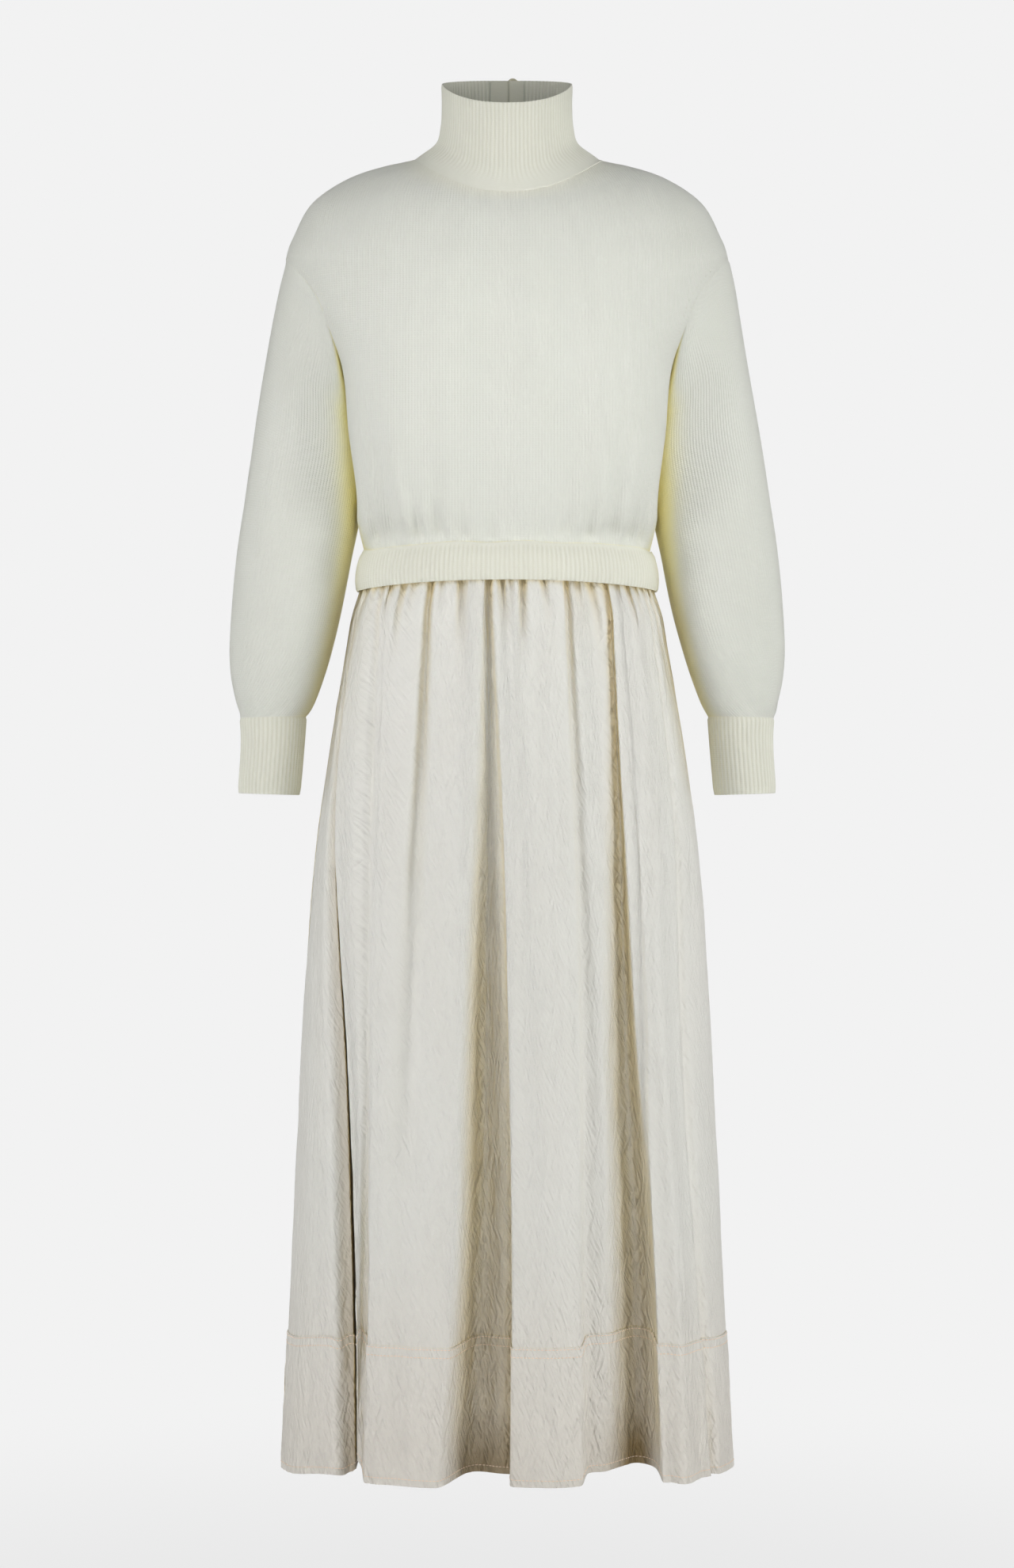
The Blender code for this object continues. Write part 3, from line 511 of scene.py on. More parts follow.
def supported(grid, wraps):
    """The grid with an extra row and column close inside each edge, which keep edges crisp."""
    def pair(rows):
        step = np.linalg.norm(rows[1] - rows[0], axis=-1, keepdims=True)[..., :3].mean()
        share = min(EDGE_LINE / step, 0.4)
        return rows[0] + (rows[1] - rows[0]) * share
    grid = np.concatenate((grid[:1], pair(grid)[None], grid[1:-1], pair(grid[::-1])[None],
                           grid[-1:]))
    if not wraps:
        turned = np.swapaxes(grid, 0, 1)
        turned = np.concatenate((turned[:1], pair(turned)[None], turned[1:-1],
                                 pair(turned[::-1])[None], turned[-1:]))
        grid = np.swapaxes(turned, 0, 1)
    return grid


def shell(name, grid, thickness, wraps, cloth=None, tint=0.0):
    """A closed thin wall with round edges whose outer face is the grid.

    The attribute "cloth" keeps each point's place on the flat cloth and its tint, which is painted
    shade on the ribs, facing strips and skirt.
    """
    across, up = lengths(grid) if cloth is None else cloth
    places = np.stack(np.broadcast_arrays(across, up, tint), axis=-1)
    normals = normals_of(grid, wraps)
    whole = supported(np.concatenate((grid, normals, places), axis=2), wraps)
    grid, normals, places = whole[..., :3], whole[..., 3:6], whole[..., 6:]
    inner = grid - normals * thickness
    middle = (grid + inner) / 2
    reach = np.zeros_like(grid)
    for edge, beside in ((0, 2), (-1, -3)):
        reach[edge] += unit(middle[edge] - middle[beside])
        if not wraps:
            reach[:, edge] += unit(middle[:, edge] - middle[:, beside])
    edges = middle + reach * thickness * 0.2
    index = np.arange(grid[..., 0].size).reshape(grid.shape[:2])
    size = index.size
    rims = [(index[0], False), (index[-1], True)]
    if not wraps:
        rims += [(index[:, 0], True), (index[:, -1], False)]
    faces = [quads(index, wraps), quads(index + size, wraps)[:, ::-1]]
    for line, turned in rims:
        closed = wraps and line.size == grid.shape[1]
        for low, high in ((line, line + 2 * size), (line + 2 * size, line + size)):
            strip = quads(np.stack((low, high)), closed)
            faces.append(strip[:, ::-1] if not turned else strip)
    faces = np.concatenate(faces)
    points = np.concatenate((grid, inner, edges)).reshape(-1, 3)
    places = np.concatenate((places,) * 3).reshape(-1, 3)
    used = np.unique(faces)
    renumber = np.zeros(len(points), dtype=int)
    renumber[used] = np.arange(len(used))
    natural = np.cross(grid[1, 1] - grid[0, 1], grid[0, 1] - grid[0, 0])
    if np.dot(natural, normals[0, 1]) > 0:
        faces = faces[:, ::-1]
    thing = mesh_object(name, points[used], renumber[faces])
    attribute = thing.data.attributes.new("cloth", "FLOAT_VECTOR", "POINT")
    attribute.data.foreach_set("vector", places[used].astype(np.float32).ravel())
    return thing


def dress(thing, finish, node=None):
    """Gives a piece its material and slot, and lets it stand for its CAD node."""
    thing.data.materials.append(finish)
    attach(thing, "root")
    if node:
        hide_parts(node)
    return thing


def cloth_piece(name, grid, wall, wraps, finish, cloth=None, tint=0.0, side=1):
    """A shell that stands for the CAD node of its name, mirrored for side -1."""
    thing = shell(name + "_cloth", grid * (side, 1, 1), wall, wraps, cloth, tint)
    return dress(thing, finish, name)


def before_edge(run):
    """1 over a ribbed piece, falling to about a quarter at its last edge, where ribs flatten."""
    return smooth(run[-1:] - run, -0.001, 0.002)


def ribs(count):
    """Relief of rib knit from 0 to 1: broad rounded ribs with narrow valleys."""
    return np.abs(np.cos(np.pi * count)) ** 0.8


# ---- knit body ----

def body_squareness(ring):
    """How square the body is at a ring."""
    return BODY_SQUARENESS + SIDE_FULLNESS * smooth(ring, 0.1, 1.6) * (1 - smooth(ring, 2.0, 4.7))


def side_tuck(ring, y):
    """How far the body's side is drawn in beside the sleeve."""
    beside = smooth(ring, 0.9, 1.6) * (1 - smooth(ring, 3.2, 3.9))
    return SIDE_TUCK * beside * bump_at(y, 0, SIDE_TUCK_DEPTH)


def body_points(angle, ring):
    """The outer face of the knit body, with the soft fullness of the bust."""
    rows = along(BODY_RINGS, ring)
    over_shoulder = along(SHOULDER_LINE, ring - SHOULDER_RING + 1)[..., 0]
    rows[..., 0] = np.where(ring < SHOULDER_RING, rows[..., 0], over_shoulder)
    rows[..., 1] -= SHOULDER_SETTLE * smooth(ring, 5.0, 6.0) * (1 - 0.4 * smooth(ring, 9.3, 10.0))
    points = ring_points(rows, angle, body_squareness(ring))
    points[..., 0] -= np.sin(angle) * side_tuck(ring, points[..., 1])
    off_x = (np.abs(points[..., 0]) - BUST_CENTRE[0]) / BUST_SPREAD[0]
    off_z = (points[..., 2] - BUST_CENTRE[1]) / BUST_SPREAD[1]
    forward = np.maximum(np.cos(angle), 0)
    points[..., 1] -= BUST_REACH * forward * np.exp(-off_x ** 2 - off_z ** 2)
    return points


def armhole_angle(ring):
    """The angle at which a body panel ends: the side seam, armhole or shoulder seam."""
    height = (ring - UNDERARM_RING) / (SHOULDER_RING - UNDERARM_RING)
    depth = np.maximum(np.sin(np.pi * np.clip(height, 0, 1)), 0)
    return np.pi / 2 - ARMHOLE_INSET * 1.015 * depth / np.sqrt(depth + 0.03)


def body_places():
    """Ring places of the rows of a body panel, close together at the armhole's ends."""
    low = np.linspace(0, UNDERARM_RING, BODY_ROWS[0], endpoint=False)
    turn = np.linspace(0, np.pi, BODY_ROWS[1])
    span = SHOULDER_RING - UNDERARM_RING
    shoulder = np.linspace(SHOULDER_RING, NECK_RING, BODY_ROWS[2])
    return np.concatenate((low, UNDERARM_RING + span * (1 - np.cos(turn)) / 2, shoulder[1:]))


RIPPLE_DEPTH = 2.5          # scale of the depths below
# Soft upright troughs over the waist: x, height reached, lean, depth in mm, half-width.
RIPPLES = (
    (-0.138, 0.100, -0.012, 2.0, 0.009), (-0.112, 0.170, -0.030, 2.6, 0.013),
    (-0.086, 0.075, -0.006, 2.2, 0.008), (-0.066, 0.095, -0.008, 2.4, 0.009),
    (-0.044, 0.060, 0.004, 1.6, 0.008), (-0.018, 0.045, 0.002, 1.2, 0.008),
    (0.006, 0.055, 0.000, 1.3, 0.009), (0.030, 0.050, 0.004, 1.4, 0.008),
    (0.052, 0.080, 0.010, 2.0, 0.010), (0.078, 0.070, 0.008, 2.0, 0.008),
    (0.100, 0.130, 0.022, 2.4, 0.011), (0.124, 0.090, 0.012, 2.0, 0.009),
    (0.142, 0.080, 0.010, 1.8, 0.008),
)


def waist_ripples(x, height, shift):
    """Soft upright troughs of the knit where it blouses over the waist seam."""
    relief = np.zeros(np.broadcast(x, height).shape)
    for foot, reach, lean, depth, width in RIPPLES:
        up = np.clip(height / reach, 0, 1)
        off = (x - foot * (1 + shift) - lean * up) / (0.75 * width * (1 + 0.6 * up))
        fade = smooth(up, 0, 0.12) * (1 - smooth(up, 0.3, 1))
        relief -= RIPPLE_DEPTH * depth / 1000 * np.exp(-off ** 2) * fade
    return relief


def body_panel(name, centre, seed):
    """The front or back of the knit body."""
    ring = body_places()[:, None]
    share = np.linspace(-1, 1, BODY_COLUMNS)[None, :]
    angle = centre + share * armhole_angle(ring)
    grid = over(body_points, angle, ring)
    across = lengths(grid)[0]
    up = grid[..., 2]
    height = up - up[:1]
    relief = waist_ripples(across, height, 0.06 * np.sin(centre / 2))
    beside_shoulder = smooth(np.abs(ring - SHOULDER_RING), 0.1, 0.8)
    inside = smooth(1 - np.abs(share), 0, 0.2) * beside_shoulder
    relief += KNIT_WAVE * noise(seed + 5, across / 0.06, up / 0.12) * inside
    to_edge = (1 - np.abs(share)) * np.max(across, axis=1, keepdims=True)
    armhole = smooth(ring, 2.6, 3.2) * (1 - smooth(ring, 4.0, 4.8))
    relief -= SEAM_DIP * armhole * bump_at(to_edge, 0.0008, 0.0013)
    relief += SEAM_ROLL * armhole * bump_at(to_edge, 0.0040, 0.0018)
    relief *= smooth(height, -0.001, 0.004)
    grid = lift(grid, relief, False)
    tint = 0.8 * smooth(ring, 8.6, NECK_RING) + 0 * share
    thing = cloth_piece(name, grid, KNIT_WALL, False, knit_finish, (across, up), tint)
    rows = np.flatnonzero((ring[:, 0] > 3.35) & (ring[:, 0] < 4.75))
    for column, side in ((5, "left"), (-6, "right")):
        line = grid[rows][:, column]
        out = normals_of(grid, False)[rows][:, column]
        stitches(name + "_marks_" + side, line, out, knit_finish, "knit", **MARK)


# ---- sleeves and cuffs ----

def armhole_points(turn):
    """The armhole seam on the +X side; turn 0 is its top, a quarter its front edge."""
    height = (1 + np.cos(2 * np.pi * turn)) / 2
    ring = UNDERARM_RING + (SHOULDER_RING - UNDERARM_RING) * height
    angle = armhole_angle(ring)
    return body_points(np.where(turn % 1.0 > 0.5, np.pi - angle, angle), ring)


def tube_points(rows, turn, place, fullness=1.0):
    """Points of sleeve or cuff rings; turn 0 is the outer side, a quarter the front."""
    table = along(rows, place)
    inner_x, inner_z, outer_x, outer_z, mid_y, half_depth = np.moveaxis(table, -1, 0)
    outward, forward = np.cos(2 * np.pi * turn), np.sin(2 * np.pi * turn)
    outward = np.sign(outward) * np.abs(outward) ** fullness
    forward = np.sign(forward) * np.abs(forward) ** fullness
    x = (inner_x + outer_x) / 2 + outward * (outer_x - inner_x) / 2
    z = (inner_z + outer_z) / 2 + outward * (outer_z - inner_z) / 2
    y = mid_y - half_depth * forward
    return np.stack((x, y, z), axis=-1)


def sleeve_points(turn, place):
    """The outer face of the sleeve: the armhole seam running into the sleeve's rings."""
    join = np.minimum(place / 2.0, 1.0)
    join = (join * join * (3 - 2 * join))[..., None]
    full = 1 - 0.22 * np.sin(np.pi * np.clip(place / (len(SLEEVE_RINGS) - 1), 0, 1)) ** 0.5
    tube = tube_points(SLEEVE_RINGS, turn, place, full)
    drop = tube - tube_points(SLEEVE_RINGS, turn, 0 * place)
    points = (armhole_points(turn) + drop) * (1 - join) + tube * join
    tuck = bump_at(place, 2.2, 1.3) * np.maximum(-np.cos(2 * np.pi * turn), 0) ** 0.5
    points[..., 0] -= SLEEVE_TUCK * tuck
    points[..., 1] += SLEEVE_SET_BACK * bump_at(place, 2.6, 1.6)
    gap = body_side(points[..., 1], points[..., 2]) + SLEEVE_CLEAR - points[..., 0]
    push = np.where(gap > 0.002, gap, (np.maximum(gap, -0.002) + 0.002) ** 2 / 0.008)
    points[..., 0] += push * smooth(place, 0.0, 0.35)
    return points


def body_side(y, z):
    """How far out the side of the body is at these depths and heights."""
    rings = np.linspace(0, UNDERARM_RING + 0.6, 60)
    table = along(BODY_RINGS, rings)
    ring = np.interp(z, table[:, 1], rings)
    for _ in range(3):
        row = along(BODY_RINGS, ring)
        depth = np.where(y < 0, row[..., 2], row[..., 4])
        share = np.clip(y / depth, 0, 0.98)
        power = body_squareness(ring) / 2
        forward = share ** power
        drop = (np.where(y < 0, row[..., 3], row[..., 5]) - row[..., 1]) * forward ** 2
        ring = np.interp(z - drop, table[:, 1], rings)
    across = np.sqrt(1 - forward ** 2)
    return along(BODY_RINGS, ring)[..., 0] * across ** (1 / power) - side_tuck(ring, y)


def sleeve(name, side, seed):
    """One sleeve, from the armhole seam to the cuff seam."""
    turn = np.linspace(0, 1, SLEEVE_COLUMNS, endpoint=False)[None, :]
    place = even_places(lambda p: sleeve_points(0 * p + 0.25, p), 0.0, len(SLEEVE_RINGS) - 1,
                        SLEEVE_ROWS)[:, None]
    grid = over(sleeve_points, turn, place)
    across, up = lengths(grid)
    run = up[-1:] - up
    relief = KNIT_WAVE * noise(seed, across / 0.05, up / 0.09)
    relief += KNIT_WAVE * noise(seed + 2, across / 0.022, up / 0.05) * (1 - smooth(run, 0.0, 0.05))
    relief -= 0.0004 * bump_at(run, 0.0, 0.0016)
    relief *= smooth(up, -0.001, 0.004) * smooth(run, -0.001, 0.006)
    grid = lift(grid, relief, True)
    thing = cloth_piece(name, grid, KNIT_WALL, True, knit_finish, (across, up), side=side)


def cuff(name, side):
    """One ribbed cuff."""
    def cuff_points(turn, place):
        return tube_points(CUFF_RINGS, turn, place)
    turn, rib = rib_places(lambda t: cuff_points(t, 1 + 0 * t), 0.0, 1.0, CUFF_RIB, RIB_COLUMNS)
    turn, rib = turn[:, :-1], rib[:, :-1]
    place = np.linspace(0, len(CUFF_RINGS) - 1, RIB_ROWS)[:, None]
    grid = over(cuff_points, turn, place)
    across, up = lengths(grid)
    around = across[8:9] + 0 * across
    rib = rib + 0 * up
    relief = RIB_RELIEF * rib * smooth(up, 0.0, 0.003)
    relief = relief * before_edge(up) - RIB_SINK
    grid = lift(grid, relief, True)
    # Painted shade: the cuff's rib valleys are darkened in colour.
    thing = cloth_piece(name, grid, RIB_WALL, True, rib_finish, (around, up), 1 - rib, side)


# ---- collar ----

def collar_points(angle, ring):
    """The outer face of the collar; near the rim its height stays level round the back."""
    row = along(COLLAR_RINGS, ring)
    points = ring_points(row, angle, 2.0 + (BODY_SQUARENESS - 2.0) * (1 - smooth(ring, 0, 1.5)))
    across, forward = np.abs(np.sin(angle)), np.cos(angle)
    middle = np.where(forward >= 0, row[..., 3], row[..., 5])
    share = np.maximum(1 - across ** 2.2, 0) ** np.where(forward >= 0, 0.6, 0.5)
    level = row[..., 1] + (middle - row[..., 1]) * share
    near_rim = smooth(ring, 2.0, 4.0)
    points[..., 2] += (level - points[..., 2]) * near_rim
    return points


def collar(name):
    """The ribbed collar, open at the centre back."""
    edge = np.pi - SLIT_GAP / 2 / COLLAR_RINGS[-1][0]
    angle, rib = rib_places(lambda a: collar_points(a, 3 + 0 * a), -edge, edge, COLLAR_RIB,
                            RIB_COLUMNS)
    place = even_places(lambda p: collar_points(0 * p, p), 0.0, len(COLLAR_RINGS) - 1,
                        COLLAR_ROWS)[:, None]
    grid = over(collar_points, angle, place)
    foot = over(body_points, angle, NECK_RING - COLLAR_FOOT[:, None])
    grid = np.concatenate((foot, grid[1:]))
    across, up = lengths(grid)
    rib = rib + 0 * up
    front = np.maximum(np.cos(angle), 0) ** 2
    strength = smooth(up, 0.002 + 0.006 * front, 0.012 + 0.030 * front)
    relief = COLLAR_RELIEF * rib * strength * before_edge(up)
    relief += COLLAR_RISE * smooth(up, -0.001, 0.002)
    grid = lift(grid, relief, False)
    # Painted shade: the collar's rib valleys are darkened in colour.
    thing = cloth_piece(name, grid, COLLAR_CLOTH, False, collar_finish, (across, up),
                        (1 - rib) * strength)


def placket(name, side, edge):
    """A smooth facing strip inside the collar; its edge is this far from the middle."""
    turn = np.linspace(edge / COLLAR_RINGS[-1][0], FACING_WIDTH, PLACKET_COLUMNS)[None, :]
    angle = side * (np.pi - turn)
    place = np.linspace(0.8, len(COLLAR_RINGS) - 1.03, COLLAR_ROWS)[:, None]
    grid = over(collar_points, angle, place)
    out = np.sign(grid[..., 1:2])
    grid = grid - np.concatenate((0 * out, out, 0 * out), axis=2) * (COLLAR_WALL + PLACKET_CLEAR)
    # Painted shade: the facing strips are darkened, most at the slit.
    shadow = 0.75 + 0.85 * (1 - smooth(turn, turn[0, 0], turn[0, 0] + 0.03)) + 0 * place
    thing = cloth_piece(name, grid, PLACKET_WALL, False, collar_finish, tint=shadow)


# ---- waistband ----

def waistband(name):
    """The ribbed band that covers the gathered edge of the skirt."""
    def points(angle, place):
        return ring_points(along(WAISTBAND_RINGS, place), angle, BODY_SQUARENESS)
    angle, rib = rib_places(lambda a: points(a, 2 + 0 * a), 0.0, 2 * np.pi, WAIST_RIB,
                            WAIST_RIB_COLUMNS)
    angle, rib = angle[:, :-1], rib[:, :-1]
    place = np.linspace(0, len(WAISTBAND_RINGS) - 1, RIB_ROWS)[:, None]
    grid = over(points, angle, place)
    across, down = lengths(grid)
    rib = rib + 0 * down
    relief = RIB_RELIEF * rib * smooth(down, 0.002, 0.005)
    relief = relief * before_edge(down) - RIB_SINK
    relief += LINK_RIDGE * bump_at(down, 0.0012, 0.0012)
    wave = LINK_WAVE * np.sin(9 * angle + 2 * np.sin(4 * angle)) * (1 - smooth(down, 0.0, 0.012))
    grid = lift(grid, relief, True)
    grid[..., 2] += wave
    # Painted shade: the waistband's rib valleys are darkened in colour.
    valley_shade = (1 - rib) * smooth(down, 0.002, 0.005)
    thing = cloth_piece(name, grid[::-1], RIB_WALL, True, rib_finish,
                        (across[::-1], down[::-1]), valley_shade[::-1])


# ---- skirt ----

def skirt_rows(fall):
    """The skirt's rings at shares of the way down."""
    top, hem = SKIRT_RINGS[0][3], SKIRT_RINGS[-1][3]
    heights = [(row[3] - top) / (hem - top) for row in SKIRT_RINGS]
    return along(SKIRT_RINGS, np.interp(fall, heights, range(len(heights))))


def skirt_base(angle, fall):
    """The skirt before it is folded; fall is 0 at the gathered edge and 1 at the hem."""
    half_width, front_y, back_y, z = np.moveaxis(skirt_rows(fall), -1, 0)
    droop = SIDE_DROOP * np.sin(angle) ** 8
    puff = 1 + SKIRT_PUFF * bump_at(fall, 0.055, 0.040)
    half_width, front_y, back_y = half_width * puff, front_y * puff, back_y * puff
    rows = np.stack(np.broadcast_arrays(half_width, z - droop, front_y, z, back_y, z), axis=-1)
    return ring_points(rows, angle, SKIRT_SQUARENESS)


def fold_value(fold, key, fall):
    """A value of a fold at this height."""
    heights = np.broadcast_to(fold.get(key, FOLD_DEFAULTS[key]), 5)[:, None]
    return along(heights, 4 * np.asarray(fall, dtype=float))[..., 0]


def fold_offsets(folds, gathers, degrees, fall):
    """How far the folds push the cloth in, along towards +angle and up, in metres, and how
    much they darken it."""
    inward = np.zeros(np.broadcast(degrees, fall).shape)
    along_ring = np.zeros_like(inward)
    upward = np.zeros_like(inward)
    dark = np.zeros_like(inward)
    line = fall if fall.ndim < 2 else fall[:, :1]
    for fold in folds:
        value = {key: fold_value(fold, key, line) for key in FOLD_DEFAULTS}
        off = degrees - value["angle"]
        left = off < 0
        width = np.where(left, value["left"], value["right"])
        share = np.minimum(np.abs(off) / width, 1)
        floor = (1 + np.cos(np.pi * share ** value["flat"])) / 2
        drop = np.where(left, value["drop_left"], value["drop_right"])
        beside = np.clip(1 - (np.abs(off) - width) / ROLL_REACH, 0, 1) ** 2
        inward += (value["depth"] * floor + drop * beside * (1 - floor)) / 1000
        lap = np.exp(-((np.abs(off) - width) / (LAP_SPREAD * np.minimum(width, 5))) ** 2) / 1000
        along_ring += lap * np.where(left, value["lap_left"], -value["lap_right"])
        upward += value["lift"] / 1000 * floor * smooth(line, 0.3, 0.9)
        # Painted shade along the fold's floor.
        dark += value["dark"] * floor
    for top, lean, depth, left, right, length in gathers:
        down = fall / length
        spread = 1.25 + 0.8 * np.minimum(down, 1)
        off = degrees - top - lean * down
        share = np.minimum(np.abs(off) / (spread * np.where(off < 0, left, right)), 1)
        inward += depth / 1000 * (1 - smooth(down, 0.15, 1)) * (1 + np.cos(np.pi * share)) / 2
    return inward, along_ring, upward + HEM_LIFT * inward * fall, dark


def skirt_points(folds, gathers, middle_angle, degrees, fall):
    """The outer face of the folded skirt, and how far in and how dark each point is."""
    angle = middle_angle + np.radians(degrees)
    step = 0.001
    tangent = skirt_base(angle + step, fall) - skirt_base(angle - step, fall)
    tangent = unit(tangent)
    side = smooth(np.abs(degrees), 50, 88)
    level = np.copysign(1 - side, -np.cos(middle_angle))
    outward = unit(np.stack((tangent[..., 1] * side, level - tangent[..., 0] * side,
                             0 * tangent[..., 0]), axis=-1))
    inward, along_ring, upward, dark = fold_offsets(folds, gathers, degrees, fall)
    points = skirt_base(angle, fall) - outward * inward[..., None] + tangent * along_ring[..., None]
    points[..., 2] += upward
    return points, inward, dark


class Skirt:
    """One side of the skirt: its folds, and columns that follow them from waist to hem."""

    def __init__(self, folds, gathers, middle_angle, columns, seed):
        self.folds, self.gathers = folds, gathers
        self.middle_angle, self.seed = middle_angle, seed
        self.hem = even_places(self.hem_points, -90.0, 90.0, columns)
        self.across = run_along(self.hem_points(self.hem))
        self.across -= self.across[columns // 2]

    def hem_points(self, degrees):
        """Points of the hem at these angles."""
        return self.points(degrees, 1.0 + 0 * degrees)[0]

    def points(self, degrees, fall):
        return skirt_points(self.folds, self.gathers, self.middle_angle, degrees, fall)

    def degrees(self, fall):
        """The angles of the columns at one height."""
        marks, lines = ([-90.0] + [float(fold_value(fold, "angle", height)) for fold in self.folds]
                        + [90.0] for height in (1.0, fall))
        return np.interp(self.hem, marks, lines)

    def panel(self, name, falls, rise=0.0, seams=()):
        """The part of this side between two heights; rise lifts the cloth outward.

        A row of stitches runs across it at each of the heights in seams.
        """
        falls = np.sort(np.concatenate((falls, seams)))[::-1]
        degrees = np.array([self.degrees(fall) for fall in falls])
        fall = np.repeat(falls[:, None], len(self.hem), axis=1)
        grid, inward, dark = self.points(degrees, fall)
        across = np.broadcast_to(self.across, fall.shape)
        up = -fall * (SKIRT_RINGS[0][3] - SKIRT_RINGS[-1][3])
        deep = np.clip(inward / FULL_DEPTH, 0, 1)
        low = smooth(fall, band_fall() - 0.02, band_fall() + 0.02)
        # Painted shade in deep folds and gathers, darker low on the skirt, carried to the material as
        # the tint.
        shadow = deep ** 1.5 * (0.12 + 0.22 * smooth(fall, 0.6, 0.9) + 0.75 * smooth(fall, 0.92, 1))
        shadow += 1.2 * deep * (1 - smooth(fall, 0.03, 0.15)) + dark
        height = CRINKLE + DEEP_CRINKLE * np.maximum(deep, 0.7 * low)
        relief = height * crinkle(self.seed, across, up)
        relief += 0.0010 * noise(self.seed + 20, across / 0.050, up / 0.25) * smooth(fall, 0, 0.2)
        relief += 0.0005 * noise(self.seed + 21, across / 0.022, up / 0.12)
        angle = self.middle_angle + np.radians(degrees)
        normals = normals_of(grid, False)
        facing = normals[..., 0] * np.sin(angle) - normals[..., 1] * np.cos(angle)
        grid = lift(grid, relief * smooth(facing, 0.15, 0.65) + rise, False)
        thing = cloth_piece(name, grid, WOVEN_WALL, False, woven_finish, (across, up), shadow)
        out = normals_of(grid, False)
        rows = [int(np.argmin(np.abs(falls - seam))) for seam in seams]
        lines = [stitches(name + "_stitches_" + str(number), grid[row], out[row],
                          thread_finish, "thread", **STITCH) for number, row in enumerate(rows)]


def band_fall():
    """Where the hem band starts, as a share of the skirt's fall."""
    return 1 - HEM_BAND_HEIGHT / (SKIRT_RINGS[0][3] - SKIRT_RINGS[-1][3])


# ---- stitches ----

def stitches(name, line, out, finish, slot, dash, gap, radius):
    """A row of stitches along a line on the cloth; out is the way that the cloth faces."""
    run = run_along(line)
    starts = np.arange(gap, run[-1] - dash, dash + gap)
    places = starts[:, None] + dash * np.array((0, 0.5, 1))

    def read(values):
        return np.stack([np.interp(places, run, values[:, axis]) for axis in range(3)], axis=-1)
    centre, normal = read(line), read(out)
    tangent = np.broadcast_to(centre[:, 2:] - centre[:, :1], centre.shape)
    aside = unit(np.cross(unit(tangent), normal))
    centre = centre + normal * (radius * np.array((-0.6, 0.5, -0.6)))[:, None]
    corners = [centre + radius * (aside * math.cos(turn) + normal * math.sin(turn))
               for turn in (0, math.pi / 2, math.pi, 3 * math.pi / 2)]
    points = np.stack(corners, axis=2)
    ring = np.array((0, 1, 2, 3))
    after = np.roll(ring, -1)
    sides = [np.stack((ring + low, ring + low + 4, after + low + 4, after + low), axis=1)
             for low in (0, 4)]
    one = np.concatenate(sides + [ring[None], ring[None, ::-1] + 8])
    faces = (np.arange(len(starts))[:, None, None] * 12 + one).reshape(-1, 4)
    return dress(mesh_object(name, points.reshape(-1, 3), faces), finish)


# ---- fastening ----

def button(name):
    """A low domed button with a rounded rim."""
    low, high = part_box(name)
    centre_x, centre_z = (low.x + high.x) / 2, (low.z + high.z) / 2 + BUTTON_RAISE
    turn = np.linspace(0, 2 * np.pi, 48, endpoint=False)[None, :]
    profile = np.array((
        # radius share, depth share from the collar side
        (0.20, 0.00), (0.21, 0.34), (0.60, 0.36), (0.93, 0.40), (1.00, 0.52), (0.98, 0.68),
        (0.88, 0.84), (0.66, 0.95), (0.36, 0.995), (0.05, 1.0)))
    radius = (profile[:, 0] * BUTTON_RADIUS)[:, None]
    depth = (low.y + profile[:, 1] * (high.y - low.y))[:, None]
    grid = np.stack(np.broadcast_arrays(centre_x + radius * np.cos(turn), depth,
                                        centre_z + radius * np.sin(turn)), axis=-1)
    index = np.arange(grid[..., 0].size).reshape(grid.shape[:2])
    thing = mesh_object("button_dome", grid.reshape(-1, 3), quads(index, True))
    return dress(thing, button_finish, name)


def button_loop(name):
    """A loop of two twisted threads, from the slit's other edge round the button's shank."""
    low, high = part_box(name)
    button_low, button_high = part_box("neck_button")
    thread = (high.y - low.y) / 4
    middle = np.array(((button_low.x + button_high.x) / 2, (low.y + high.y) / 2,
                       (low.z + high.z) / 2))
    reach = (high.z - low.z) / 2 - 2 * thread
    bend = np.linspace(-np.pi / 2, np.pi / 2, 24)
    round_x, round_z = middle[0] + reach * np.cos(bend), middle[2] + reach * np.sin(bend)
    straight = np.linspace(low.x, middle[0], 16, endpoint=False)
    x = np.concatenate((straight, round_x, straight[::-1]))
    z = np.concatenate((0 * straight - reach + middle[2], round_z,
                        0 * straight + reach + middle[2]))
    path = np.stack((x, middle[1] + 0 * x, z), axis=1)
    side = np.cross(unit(np.gradient(path, axis=0)), (0, 1, 0))
    run = run_along(path)
    turn = np.linspace(0, 2 * np.pi, 10, endpoint=False)
    points, faces = [], []
    for start in (0, np.pi):
        twist = (start + run * 2 * np.pi / LOOP_TWIST)[:, None]
        strand = path + thread * (np.cos(twist) * side + np.sin(twist) * (0, 1, 0))
        across = np.cos(turn)[None, :, None] * side[:, None] + np.sin(turn)[None, :, None] * (
            np.array((0, 1, 0)))
        grid = strand[:, None] + 0.95 * thread * across
        index = np.arange(grid[..., 0].size).reshape(grid.shape[:2]) + len(points) * grid[..., 0].size
        points.append(grid.reshape(-1, 3))
        faces.append(quads(index, True))
    thing = mesh_object("button_loop_thread", np.concatenate(points), np.concatenate(faces))
    return dress(thing, thread_finish, name)


# ---- materials ----

